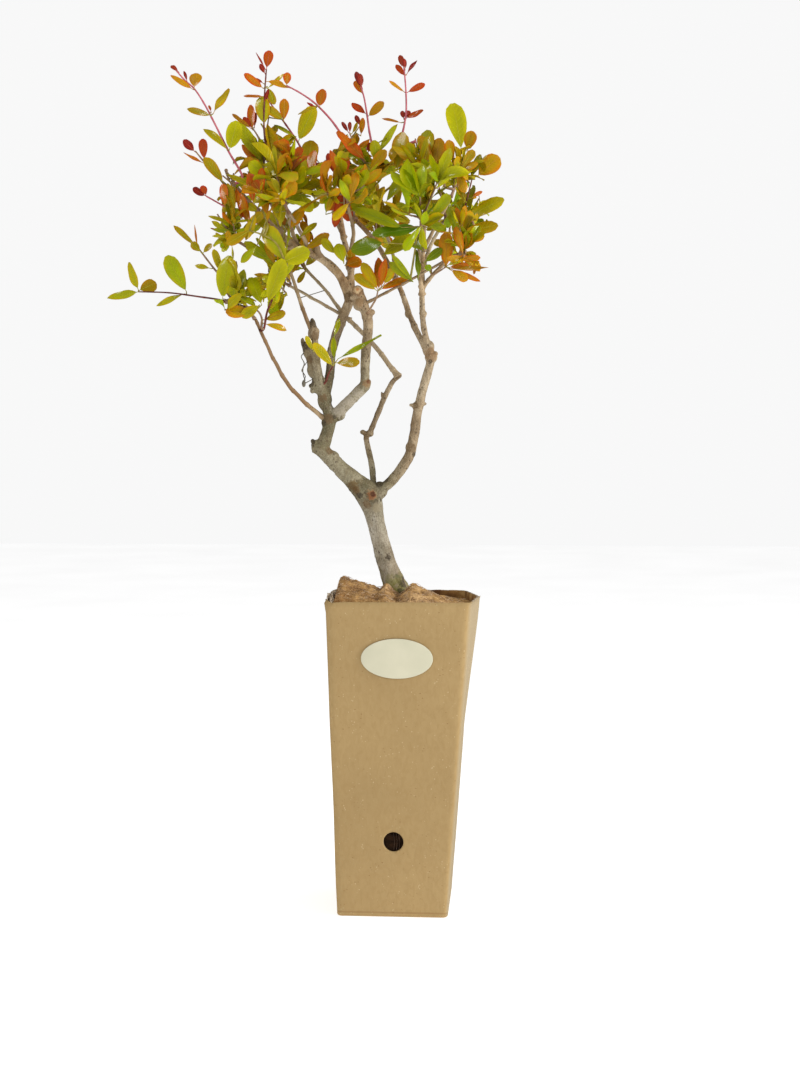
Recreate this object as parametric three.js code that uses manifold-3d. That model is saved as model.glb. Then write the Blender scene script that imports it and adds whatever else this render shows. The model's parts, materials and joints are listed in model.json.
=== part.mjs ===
// A young pomegranate tree in a tapered square pot of kraft pulp board.
// Millimetres, +Z up, +X to the right of the pot's front, +Y towards its back.
// The origin is the centre of the pot's flat underside.
import * as THREE from "three";
import { mergeVertices } from "three/addons/utils/BufferGeometryUtils.js";
import Module from "manifold-3d";

const wasm = await Module();
wasm.setup();

// Clearances.
const GAP = 0.3; // between pieces that touch
const SEAT_TRAVEL = 0.4; // along a limb, from where it stands clear to where it starts
const LIMB_CLEARANCE = 1.2; // from foliage to a limb that it passes
const CELL_MARGIN = 1.0; // from foliage to the border of its own space

// The pot: a rounded square that widens upwards, its rim pushed a little to the right.
const POT_HEIGHT = 307;
const POT_BASE_WIDTH = 108;
const POT_RIM_WIDTH = 141;
const POT_RIM_SHIFT = 7;
const POT_CORNER = 8;
const POT_WALL = 3;
const POT_FLOOR = 4;
const DRAIN_RADIUS = 9.7;
const DRAIN_HEIGHT = 74;
const LABEL_WIDTH = 69;
const LABEL_HEIGHT = 38.5;
const LABEL_THICKNESS = 0.8;
const LABEL_CENTRE = 253;

// The coir: a block that fills the pot, and loose lumps on top of it.
const FILL_TOP = 296;
const GROUND = 312; // the level that the trunk stands at
const TRUNK_CLEARANCE = 1;
const SEAT_DEPTH = 4;

// The plant stands turned a little in its pot.
const PLANT_TURN = THREE.MathUtils.degToRad(4);

// Foliage: opposite pairs of leaves along shoots, each pair a quarter turn on from the last.
const LEAF_LENGTH = 44;
const LEAF_SPREAD = 0.22; // share by which a leaf may be longer or shorter
const LEAF_WIDTH = 0.44; // of its length
const LEAF_THICKNESS = 0.9;
const LEAF_WAIST = 0.06; // by which it is widest past its middle, of its length
const LEAF_BEND = 0.04; // by which its middle is lifted, of its length
const LEAF_ANGLE = THREE.MathUtils.degToRad(52); // between leaf and shoot
const LEAF_ROLL = 0.5; // radians by which a blade may be rolled either way
const LEAF_SWAY = 0.3; // radians by which a leaf may point another way
const LEAF_CROSSING = 0.05; // mm3 that two leaves of a pair may share at their roots
const ROOT_DEPTH = 0.2; // by which a leaf's root lies past the twig's axis, in twig radii
const PAIR_STEP = 14; // between two pairs along a shoot
const BARE_SHARE = 0.18; // of a shoot, at its foot, without leaves
const SIDE_BARE_SHARE = 0.4; // of the step between pairs, at the foot of a side twig, without leaves
const SHOOT_RADIUS = 1.3;
const TWIG_RADIUS = 1;
const TIP_RADIUS = 0.7;
const SIDE_TWIG_LENGTH = 38;
const SIDE_TWIG_SPREAD = 0.3; // share by which a side twig may be longer or shorter
const SIDE_TWIG_ANGLE = THREE.MathUtils.degToRad(53); // between a side twig and its shoot
const SIDE_TWIG_STEP = 36;
const GOLDEN_ANGLE = 2.4;
const SHOOT_CLIMB = 0.25; // share of upwards in the direction that a shoot ends in
const SHOOT_START = 0.35; // of its reach, along which it keeps its first direction
const SHOOT_END = 0.3; // of its reach, along which it has its last direction
const FIRST_FORK = 0.2; // of a stem, to its first fork
const FORKING_SHARE = 0.4; // of a stem, along which it forks
const FORK_LEAN = 0.7; // of a fork's direction, from the stem's own
const RING_STEP = 17; // between the rings of a limb
const TWIG_CHORD = 34; // between those of a twig
const DOME_ANGLES = [0.75, 1.25]; // of the rings that round off a limb's tip
const CHAIN_STEP = 5; // between the points by which distances are measured

// Colours.
const KRAFT = 0xb59968;
const LABEL_PAPER = 0xddd4b4;
const COIR = 0xa9783f;
const ROOT_BALL = 0x4a3320;
const OLD_BARK = 0x968c78;
const YOUNG_BARK = 0x96785a;
const LEAF_GREEN = 0x5a870a;
const LEAF_YELLOW_GREEN = 0xa5a50a;
const LEAF_ORANGE = 0xb97314;

// How far the crown reaches, in the plant's own frame.
const CROWN = new THREE.Box3(new THREE.Vector3(-291, -130, 500), new THREE.Vector3(109, 140, 852));

const UP = new THREE.Vector3(0, 0, 1);

// The limbs. Each has the limb that carries it, its radius at foot and tip, and the few points that its
// centre line bends at, in the plant's own frame. A cut limb ends flat, where it was pruned or broke.
const TRUNK_FOOT = 12.5;
const TRUNK_WAIST = 9.6;
const TRUNK_X = 1;
const OLD_RADIUS = 3; // of a limb's foot, above which its bark is old
const LIMBS = [
  { name: "trunk", radii: [TRUNK_WAIST, 8.2],
    path: [[TRUNK_X, 0, GROUND], [-5, 0, 328], [-11, 0, 345], [-20, 0, 383], [-23, 0, 411]] },
  { name: "left_bough", on: "trunk", radii: [8.2, 7.2],
    path: [[-23, 0, 411], [-54, -3, 434], [-76, -4, 455]] },
  { name: "elbow_stub", on: "left_bough", cut: true, radii: [5.4, 4.4],
    path: [[-76, -4, 455], [-88, -5, 468]] },
  { name: "old_stub_bough", on: "left_bough", cut: true, radii: [6.8, 4.2],
    path: [[-74, -4, 453], [-66, -4, 484], [-71, -5, 502], [-84, -5, 541], [-91, -6, 560]] },
  { name: "snag", on: "old_stub_bough", cut: true, radii: [4.6, 3.4],
    path: [[-72, -4, 508], [-78, -16, 534], [-82, -15, 581]] },
  { name: "snag_shoot", on: "snag", radii: [2.2, 1.6],
    path: [[-81, -15, 566], [-92, -16, 592], [-104, -18, 629]] },
  { name: "inner_bough", on: "old_stub_bough", radii: [4.4, 5],
    path: [[-71, -4, 503], [-66, 3, 530], [-64, 2, 553], [-54, 4, 584], [-45, 6, 605]] },
  { name: "cut_bough_foot", on: "old_stub_bough", radii: [5.8, 5.6],
    path: [[-66, -4, 482], [-48, -8, 500], [-31, -9, 517]] },
  { name: "cut_bough", on: "cut_bough_foot", cut: true, radii: [4.6, 5.4],
    path: [[-31, -9, 517], [-30, -8, 550], [-28, -7, 581], [-38, -8, 612]] },
  { name: "slim_bough", on: "old_stub_bough", radii: [2.3, 1.6],
    path: [[-67, -4, 480], [-106, -12, 517], [-139, -20, 582]] },
  { name: "thin_stem", on: "trunk", radii: [3.1, 2.7],
    path: [[-23, 4, 404], [-29, 16, 462], [-13, 15, 500], [2, 14, 527]] },
  { name: "thin_stem_upper", on: "thin_stem", radii: [2.6, 2.2],
    path: [[2, 14, 527], [-23, 17, 560], [-54, 20, 591]] },
  { name: "back_left_shoot", on: "thin_stem_upper", radii: [1.8, 1.5],
    path: [[-54, 20, 591], [-72, 34, 616], [-92, 52, 638]] },
  { name: "back_low_shoot", on: "thin_stem_upper", radii: [1.8, 1.4],
    path: [[-46, 19, 584], [-76, 24, 602], [-108, 30, 620]] },
  { name: "right_bough", on: "trunk", radii: [5.4, 4.4],
    path: [[-22, 0, 408], [-3, -2, 424], [13, -4, 447], [18, -4, 468], [22, -5, 494], [35, -5, 543]] },
  { name: "right_inner_bough", on: "right_bough", radii: [3.3, 2.2],
    path: [[35, -5, 543], [17, 2, 580], [2, 9, 620], [-21, 17, 663], [-41, 24, 686]] },
  { name: "right_outer_bough", on: "right_bough", radii: [3.4, 2],
    path: [[35, -5, 543], [27, -7, 580], [26, -6, 617], [27, -3, 650], [29, 0, 690]] },
  { name: "far_right_shoot", on: "right_outer_bough", radii: [2, 1.5],
    path: [[26, -6, 615], [37, -9, 627], [52, -8, 645], [63, 0, 670]] },
  { name: "front_twig", on: "cut_bough", radii: [1.5, 1.2],
    path: [[-32, -7, 598], [1, -26, 613], [56, -48, 641]] },
  { name: "upper_left_bough", on: "inner_bough", radii: [5, 2.6],
    path: [[-46, 5, 605], [-56, 0, 627], [-75, -5, 644], [-101, -8, 656], [-136, -12, 689]] },
  { name: "upper_left_stub", on: "upper_left_bough", cut: true, radii: [3, 2.6],
    path: [[-77, -5, 645], [-80, -12, 660]] },
  { name: "left_shoot", on: "upper_left_bough", radii: [1.8, 1.4],
    path: [[-101, -8, 656], [-122, -20, 645], [-146, -24, 653]] },
  { name: "left_top_shoot", on: "upper_left_bough", radii: [2, 1.6],
    path: [[-112, -9, 665], [-118, 0, 682], [-126, 3, 702]] },
  { name: "left_front_shoot", on: "upper_left_bough", radii: [2.2, 1.6],
    path: [[-84, -6, 648], [-92, -30, 664], [-103, -50, 682]] },
  { name: "left_back_shoot", on: "upper_left_bough", radii: [2.2, 1.6],
    path: [[-98, -8, 655], [-106, 18, 678], [-114, 44, 702]] },
  { name: "upright_bough", on: "inner_bough", radii: [4, 2],
    path: [[-45, 6, 605], [-46, 12, 641], [-53, 8, 668], [-56, 0, 698], [-54, -4, 719]] },
  { name: "top_shoot", on: "upright_bough", radii: [2, 1.5],
    path: [[-52, 8, 666], [-64, 24, 696], [-60, 30, 728]] },
  { name: "centre_front_shoot", on: "upright_bough", radii: [2.2, 1.6],
    path: [[-47, 11, 645], [-42, -20, 668], [-46, -45, 690]] },
  { name: "centre_back_shoot", on: "right_inner_bough", radii: [2.1, 1.5],
    path: [[0, 9, 624], [-4, 34, 656], [-16, 54, 688]] },
  { name: "right_top_shoot", on: "right_outer_bough", radii: [2, 1.5],
    path: [[27, -3, 652], [40, -14, 676], [54, -18, 702]] },
  { name: "right_back_shoot", on: "right_outer_bough", radii: [2.2, 1.6],
    path: [[27, -4, 636], [36, 24, 662], [48, 50, 686]] },
  { name: "right_front_shoot", on: "right_outer_bough", radii: [2.2, 1.6],
    path: [[26, -6, 608], [22, -30, 638], [24, -50, 666]] },
];

// The foliage masses. Each grows from the tip of its limb, or from the side of it where that is given,
// and its shoots reach for its tips. Small sprigs have their own leaf length and step between pairs.
const MASSES = [
  { name: "foliage_upper_left", on: "upper_left_bough", color: LEAF_ORANGE, seed: 11,
    tips: [[-224, -20, 836], [-213, -42, 764], [-168, 8, 790], [-190, 14, 742]] },
  { name: "foliage_left", on: "left_shoot", color: LEAF_ORANGE, seed: 42,
    tips: [[-202, -50, 713], [-168, -78, 690], [-196, -14, 684], [-176, -52, 655]] },
  { name: "foliage_left_top", on: "left_top_shoot", color: LEAF_ORANGE, seed: 13,
    tips: [[-126, 10, 851], [-112, -22, 780], [-148, 22, 775]] },
  { name: "foliage_lower_left", on: "slim_bough", color: LEAF_ORANGE, seed: 14,
    tips: [[-289, -26, 604], [-206, -14, 662], [-168, -52, 626], [-222, -58, 600]] },
  { name: "foliage_lower_left_inner", on: "snag_shoot", color: LEAF_ORANGE, seed: 15,
    tips: [[-160, -44, 622], [-124, -62, 592], [-138, -74, 640], [-92, -60, 640]] },
  { name: "foliage_top_left", on: "upright_bough", color: LEAF_ORANGE, seed: 46,
    tips: [[-110, -22, 818], [-124, 4, 800], [-70, -38, 778], [-92, -54, 758]] },
  { name: "foliage_top_middle", on: "top_shoot", color: LEAF_ORANGE, seed: 47,
    tips: [[-38, 22, 828], [-34, 66, 780], [-70, 62, 792], [-98, 48, 762]] },
  { name: "foliage_centre_front", on: "centre_front_shoot", color: LEAF_YELLOW_GREEN, seed: 48,
    tips: [[-58, -104, 748], [-14, -96, 722], [-84, -112, 702], [-40, -124, 684]] },
  { name: "foliage_centre_back", on: "centre_back_shoot", color: LEAF_YELLOW_GREEN, seed: 19,
    tips: [[-24, 118, 740], [10, 124, 716], [-66, 116, 718], [-28, 138, 676]] },
  { name: "foliage_centre", on: "right_inner_bough", color: LEAF_YELLOW_GREEN, seed: 20,
    tips: [[-18, 0, 764], [6, 36, 766], [-34, 66, 724]] },
  { name: "foliage_top_right", on: "right_outer_bough", color: LEAF_ORANGE, seed: 51,
    tips: [[5, 0, 846], [36, 28, 800], [2, -36, 792], [20, -48, 766]] },
  { name: "foliage_right_top", on: "right_top_shoot", color: LEAF_GREEN, seed: 22,
    tips: [[57, -22, 801], [86, -30, 768], [70, -66, 744], [96, -50, 722]] },
  { name: "foliage_right", on: "far_right_shoot", color: LEAF_GREEN, seed: 23,
    tips: [[107, 8, 748], [110, -8, 706], [90, 44, 722], [102, 32, 668]] },
  { name: "foliage_lower_right", on: "front_twig", color: LEAF_YELLOW_GREEN, seed: 24,
    tips: [[102, -62, 660], [96, -52, 630], [66, -104, 686], [72, -92, 634]] },
  { name: "foliage_right_back", on: "right_back_shoot", color: LEAF_GREEN, seed: 25,
    tips: [[74, 112, 734], [40, 92, 772], [100, 84, 692], [66, 112, 650]] },
  { name: "foliage_right_front", on: "right_front_shoot", color: LEAF_GREEN, seed: 26,
    tips: [[22, -118, 718], [52, -100, 742], [0, -92, 690], [26, -122, 664]] },
  { name: "foliage_back_left", on: "back_left_shoot", color: LEAF_YELLOW_GREEN, seed: 27,
    tips: [[-130, 122, 716], [-82, 130, 700], [-150, 110, 664], [-100, 128, 650]] },
  { name: "foliage_back_low", on: "back_low_shoot", color: LEAF_YELLOW_GREEN, seed: 28,
    tips: [[-172, 66, 660], [-158, 76, 616], [-120, 88, 612]] },
  { name: "foliage_left_front", on: "left_front_shoot", color: LEAF_ORANGE, seed: 29,
    tips: [[-122, -112, 742], [-96, -92, 756], [-154, -98, 712], [-112, -122, 694]] },
  { name: "foliage_left_back", on: "left_back_shoot", color: LEAF_ORANGE, seed: 30,
    tips: [[-136, 66, 796], [-96, 88, 782], [-168, 70, 744], [-124, 96, 748]] },
  { name: "foliage_inner_sprig", on: "inner_bough", from: [-66, 2, 530], color: LEAF_GREEN, seed: 31,
    pairs: 14, leaf: 26, tips: [[-44, -22, 562], [-76, -34, 562], [-58, -30, 584]] },
  { name: "foliage_spur_cluster", on: "cut_bough", from: [-28, -7, 586], color: LEAF_ORANGE, seed: 32,
    pairs: 12, leaf: 28, tips: [[0, 2, 630], [-12, 30, 622]] },
];

// ---------------------------------------------------------------- solids

function solidOf(geometry) {
  const bare = geometry.clone();
  bare.deleteAttribute("normal");
  bare.deleteAttribute("uv");
  const merged = mergeVertices(bare, 1e-4);
  return new wasm.Manifold(
    new wasm.Mesh({
      numProp: 3,
      vertProperties: merged.attributes.position.array,
      triVerts: new Uint32Array(merged.index.array),
    }),
  );
}

function geometryOf(solid) {
  const mesh = solid.getMesh();
  const geometry = new THREE.BufferGeometry();
  geometry.setAttribute("position", new THREE.BufferAttribute(mesh.vertProperties, 3));
  geometry.setIndex(new THREE.BufferAttribute(mesh.triVerts, 1));
  return geometry;
}

// Joins closed geometries; hollows that the joining seals are filled and loose scraps dropped.
function joined(geometries) {
  const whole = geometries.map(solidOf).reduce((sum, solid) => sum.add(solid));
  const shells = whole.decompose();
  return geometryOf(shells.reduce((a, b) => (b.volume() > a.volume() ? b : a)));
}

function piece(group, name, geometry, color, roughness = 0.85) {
  const material = new THREE.MeshStandardMaterial({ color, roughness, metalness: 0, flatShading: true });
  const mesh = new THREE.Mesh(geometry, material);
  mesh.name = name;
  group.add(mesh);
  return mesh;
}

// A closed cylinder whose rings are laid along a curve, so that it can bend and taper.
// Its last rings may draw in to a dome past the curve's end, one for each angle from the end's rim.
function tube(curve, radiusAt, sides, rings, domeAngles = []) {
  const allRings = rings + domeAngles.length;
  const geometry = new THREE.CylinderGeometry(1, 1, 1, sides, allRings);
  const frames = curve.computeFrenetFrames(rings, false);
  const position = geometry.attributes.position;
  for (let i = 0; i < position.count; i += 1) {
    const level = Math.round((position.getY(i) + 0.5) * allRings);
    const ring = Math.min(level, rings);
    const angle = level > rings ? domeAngles[level - rings - 1] : 0;
    const radius = radiusAt(ring / rings) * Math.cos(angle);
    const vertex = curve.getPoint(ring / rings);
    vertex.addScaledVector(frames.tangents[ring], radiusAt(1) * Math.sin(angle));
    vertex.addScaledVector(frames.normals[ring], position.getX(i) * radius);
    vertex.addScaledVector(frames.binormals[ring], -position.getZ(i) * radius);
    position.setXYZ(i, vertex.x, vertex.y, vertex.z);
  }
  return geometry;
}

// ---------------------------------------------------------------- pot, label and fill

function roundedSquare(width, corner) {
  const half = width / 2;
  const shape = new THREE.Shape();
  shape.moveTo(half - corner, -half);
  shape.absarc(half - corner, corner - half, corner, -Math.PI / 2, 0);
  shape.absarc(half - corner, half - corner, corner, 0, Math.PI / 2);
  shape.absarc(corner - half, half - corner, corner, Math.PI / 2, Math.PI);
  shape.absarc(corner - half, corner - half, corner, Math.PI, 1.5 * Math.PI);
  return shape;
}

// A block that fills the pot's outline, drawn in by inset on every side, between two heights.
function potBlock(inset, from, to) {
  const shape = roundedSquare(1, POT_CORNER / POT_BASE_WIDTH);
  const geometry = new THREE.ExtrudeGeometry(shape, {
    depth: 1,
    curveSegments: 4,
    bevelEnabled: false,
  });
  const position = geometry.attributes.position;
  for (let i = 0; i < position.count; i += 1) {
    const z = from + (to - from) * position.getZ(i);
    const share = z / POT_HEIGHT;
    const width = THREE.MathUtils.lerp(POT_BASE_WIDTH, POT_RIM_WIDTH, share) - 2 * inset;
    const x = POT_RIM_SHIFT * share + width * position.getX(i);
    position.setXYZ(i, x, width * position.getY(i), z);
  }
  return geometry;
}

function makePot(group) {
  const hole = new THREE.CylinderGeometry(DRAIN_RADIUS, DRAIN_RADIUS, POT_BASE_WIDTH / 2, 16);
  hole.translate(POT_RIM_SHIFT * (DRAIN_HEIGHT / POT_HEIGHT), -POT_BASE_WIDTH / 2, DRAIN_HEIGHT);
  const shell = solidOf(potBlock(0, 0, POT_HEIGHT))
    .subtract(solidOf(potBlock(POT_WALL, POT_FLOOR, POT_HEIGHT + 1)))
    .subtract(solidOf(hole));
  piece(group, "pot", geometryOf(shell), KRAFT, 0.95);
}

// The front wall leans out: a plate that lies on it is tipped by the same angle.
function makeLabel(group) {
  const wallLean = Math.atan2((POT_RIM_WIDTH - POT_BASE_WIDTH) / 2, POT_HEIGHT);
  const share = LABEL_CENTRE / POT_HEIGHT;
  const wallHalf = THREE.MathUtils.lerp(POT_BASE_WIDTH, POT_RIM_WIDTH, share) / 2;
  const oval = new THREE.Shape();
  oval.absellipse(0, 0, LABEL_WIDTH / 2, LABEL_HEIGHT / 2, 0, 2 * Math.PI);
  const plate = new THREE.ExtrudeGeometry(oval, {
    depth: LABEL_THICKNESS,
    curveSegments: 14,
    bevelEnabled: false,
  });
  const label = piece(group, "label", plate, LABEL_PAPER, 0.7);
  label.rotation.x = Math.PI / 2 + wallLean;
  label.position.set(POT_RIM_SHIFT * share, -wallHalf - GAP, LABEL_CENTRE);
}

// A lump is a low ball whose surface swells and shrinks by up to a fifth, in waves.
function lump(x, y, z, width, depth, height, phase) {
  const ball = new THREE.IcosahedronGeometry(1, 1);
  const position = ball.attributes.position;
  const v = new THREE.Vector3();
  for (let i = 0; i < position.count; i += 1) {
    v.fromBufferAttribute(position, i);
    const broad = Math.sin(5 * v.x + phase) * Math.cos(4 * v.y - phase);
    v.multiplyScalar(1 + 0.12 * broad + 0.08 * Math.sin(7 * v.z));
    position.setXYZ(i, x + (v.x * width) / 2, y + (v.y * depth) / 2, z + (v.z * height) / 2);
  }
  return ball;
}

function makeFill(group, trunk) {
  piece(group, "root_ball", potBlock(POT_WALL + GAP, POT_FLOOR + GAP, FILL_TOP), ROOT_BALL);
  const lumps = [
    lump(-32, -16, 303, 76, 84, 38, 0.4),
    lump(-26, 32, 302, 84, 64, 28, 1.9),
    lump(14, -30, 302, 84, 66, 28, 3.1),
    lump(36, 22, 298, 74, 88, 20, 4.4),
  ];
  const heap = lumps.map(solidOf).reduce((sum, solid) => sum.add(solid));
  const inside = solidOf(potBlock(POT_WALL + GAP, FILL_TOP + GAP, GROUND + 40));
  const seatRadius = TRUNK_FOOT + TRUNK_CLEARANCE;
  const seat = new THREE.CylinderGeometry(seatRadius, seatRadius, SEAT_DEPTH, 12);
  seat.rotateX(Math.PI / 2);
  seat.translate(TRUNK_X, 0, GROUND - GAP + SEAT_DEPTH / 2);
  const sleeve = tube(trunk.curve, (t) => trunk.radiusAt(t) + TRUNK_CLEARANCE, 12, 6);
  sleeve.rotateZ(PLANT_TURN);
  const bed = heap.intersect(inside).subtract(solidOf(seat)).subtract(solidOf(sleeve));
  piece(group, "coir_top", geometryOf(bed), COIR, 1);
}

// ---------------------------------------------------------------- limbs

const vector = (triple) => new THREE.Vector3(...triple);

// Points of a centre line a few millimetres apart, with the radius at each.
function chainOf(curve, radiusAt) {
  const count = Math.ceil(curve.getLength() / CHAIN_STEP);
  return Array.from({ length: count + 1 }, (_, i) => ({
    at: curve.getPointAt(i / count),
    radius: radiusAt(i / count),
  }));
}

// The distance from a point to the surface of a chain of tapering links.
function distanceToChain(point, chain) {
  let least = Infinity;
  const link = new THREE.Vector3();
  const foot = new THREE.Vector3();
  for (let i = 1; i < chain.length; i += 1) {
    const a = chain[i - 1];
    const b = chain[i];
    link.subVectors(b.at, a.at);
    const along = foot.subVectors(point, a.at).dot(link) / link.lengthSq();
    const share = THREE.MathUtils.clamp(along, 0, 1);
    const radius = THREE.MathUtils.lerp(a.radius, b.radius, share);
    foot.copy(a.at).addScaledVector(link, share);
    least = Math.min(least, foot.distanceTo(point) - radius);
  }
  return least;
}

// The part of a curve from a share of its length to its end.
class LaterPart extends THREE.Curve {
  constructor(whole, start) {
    super();
    this.whole = whole;
    this.start = start;
  }

  getPoint(t) {
    return this.whole.getPointAt(this.start + t * (1 - this.start));
  }
}

// The share of a curve's length from which what grow() makes along the rest stands clear of solids.
function clearStart(curve, grow, solids) {
  const length = curve.getLength();
  for (let travelled = 0; travelled < length; travelled += GAP) {
    const grown = solidOf(grow(new LaterPart(curve, travelled / length)));
    const isClear = solids.every((solid) => grown.intersect(solid).volume() === 0);
    if (isClear) return (travelled + SEAT_TRAVEL) / length;
  }
  throw new Error("the limb never leaves what carries it");
}

// The trunk swells towards its foot, most in the lowest tenth.
const trunkFlare = (t) => (TRUNK_FOOT - TRUNK_WAIST) * Math.exp(-9 * t);

function growLimbs(group) {
  const grown = {};
  for (const limb of LIMBS) {
    const [foot, tip] = limb.radii;
    const whole = new THREE.CatmullRomCurve3(limb.path.map(vector), false, "centripetal");
    const flare = limb.on ? () => 0 : trunkFlare;
    const radiusAt = (t) => THREE.MathUtils.lerp(foot, tip, t) + flare(t);
    const sides = THREE.MathUtils.clamp(Math.round(foot + 2), 4, 12);
    const rings = Math.ceil(whole.getLength() / RING_STEP);
    const grow = (curve) => tube(curve, radiusAt, sides, rings, limb.cut ? [] : DOME_ANGLES);
    const near = Object.values(grown).filter(({ name, on }) => name === limb.on || on === limb.on);
    const start = limb.on ? clearStart(whole, grow, near.map(({ solid }) => solid)) : 0;
    const curve = new LaterPart(whole, start);
    const geometry = grow(curve);
    const chain = chainOf(curve, radiusAt);
    grown[limb.name] = { ...limb, curve, tip, radiusAt, chain, solid: solidOf(geometry) };
    piece(group, limb.name, geometry, foot > OLD_RADIUS ? OLD_BARK : YOUNG_BARK);
  }
  return grown;
}

// ---------------------------------------------------------------- foliage

// The mulberry32 generator: a seed gives the same run of numbers from 0 to 1 every time.
function generator(seed) {
  let state = seed >>> 0;
  return () => {
    state = (state + 0x6d2b79f5) >>> 0;
    let t = state;
    t = Math.imul(t ^ (t >>> 15), t | 1);
    t ^= t + Math.imul(t ^ (t >>> 7), t | 61);
    return ((t ^ (t >>> 14)) >>> 0) / 4294967296;
  };
}

// A curve drawn as straight chords: what grows on a twig is then rooted in its faceted solid.
class Chords extends THREE.Curve {
  constructor(curve, count) {
    super();
    this.corners = curve.getSpacedPoints(count);
    this.heading = curve.getTangent(0);
  }

  getTangent(t, target) {
    return t > 0 ? super.getTangent(t, target) : this.heading.clone();
  }

  getPoint(t) {
    const place = THREE.MathUtils.clamp(t, 0, 1) * (this.corners.length - 1);
    const index = Math.min(Math.floor(place), this.corners.length - 2);
    return this.corners[index].clone().lerp(this.corners[index + 1], place - index);
  }
}

// A shoot sets off in one direction and arrives at its end still climbing a little.
function shootCurve(from, direction, end) {
  const reach = end.distanceTo(from);
  const arrival = end.clone().sub(from).normalize().multiplyScalar(1 - SHOOT_CLIMB);
  arrival.addScaledVector(UP, SHOOT_CLIMB);
  const bow = new THREE.CubicBezierCurve3(
    from,
    from.clone().addScaledVector(direction, SHOOT_START * reach),
    end.clone().addScaledVector(arrival, -SHOOT_END * reach),
    end,
  );
  return new Chords(bow, Math.max(2, Math.round(reach / TWIG_CHORD)));
}

// The main shoots of a mass: the stem, and one shoot from the stem for each further tip.
function shootsOf(mass, limbs) {
  const limb = limbs[mass.on];
  const leaf = mass.leaf ?? LEAF_LENGTH;
  const tips = mass.tips.map(vector);
  let foot = limb.curve.getPoint(1);
  let heading = limb.curve.getTangent(1);
  if (mass.from) {
    foot = vector(mass.from);
    heading = tips[0].clone().sub(foot).normalize();
  } else {
    foot.addScaledVector(heading, limb.tip * Math.sin(DOME_ANGLES.at(-1)) + GAP);
  }
  const ends = tips.map((tip) => tip.clone().lerp(foot, Math.min(leaf / tip.distanceTo(foot), 0.5)));
  let stem = shootCurve(foot, heading, ends[0]);
  if (mass.from) {
    const grow = (curve) => tube(curve, () => SHOOT_RADIUS, 3, 2);
    stem = new Chords(new LaterPart(stem, clearStart(stem, grow, [limb.solid])), 2);
  }
  const stemRadius = mass.from ? SHOOT_RADIUS : limb.tip;
  const shoots = [{ curve: stem, foot: stemRadius, tip: tips[0] }];
  ends.slice(1).forEach((end, i) => {
    const share = FIRST_FORK + (FORKING_SHARE * i) / ends.length;
    const from = stem.getPointAt(share);
    const direction = end.clone().sub(from).normalize();
    direction.addScaledVector(stem.getTangentAt(share), FORK_LEAN).normalize();
    shoots.push({ curve: shootCurve(from, direction, end), foot: SHOOT_RADIUS, tip: tips[i + 1] });
  });
  return shoots;
}

// A leaf is a flat octahedron: pointed at both ends, widest past its middle, a little folded and bent.
function leafGeometry(root, along, up, length) {
  const side = new THREE.Vector3().crossVectors(along, up);
  const geometry = new THREE.OctahedronGeometry(1);
  const position = geometry.attributes.position;
  const v = new THREE.Vector3();
  for (let i = 0; i < position.count; i += 1) {
    v.fromBufferAttribute(position, i);
    const forward = length * (0.5 + 0.5 * v.x + LEAF_WAIST * Math.abs(v.z));
    const across = 0.5 * LEAF_WIDTH * length * v.z;
    const lift = 0.5 * LEAF_THICKNESS * v.y + LEAF_BEND * length * (1 + Math.abs(v.z) - Math.abs(v.x));
    v.copy(root).addScaledVector(along, forward);
    v.addScaledVector(side, across).addScaledVector(up, lift);
    position.setXYZ(i, v.x, v.y, v.z);
  }
  return geometry;
}

// The corners of a leaf and the middles of its edges.
function probesOf(geometry) {
  const position = geometry.attributes.position;
  const corners = Array.from({ length: position.count }, (_, i) =>
    new THREE.Vector3().fromBufferAttribute(position, i),
  );
  const middles = corners.map((corner, i) => {
    const next = i % 3 === 2 ? i - 2 : i + 1;
    return corner.clone().lerp(corners[next], 0.5);
  });
  return corners.concat(middles);
}

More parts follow.
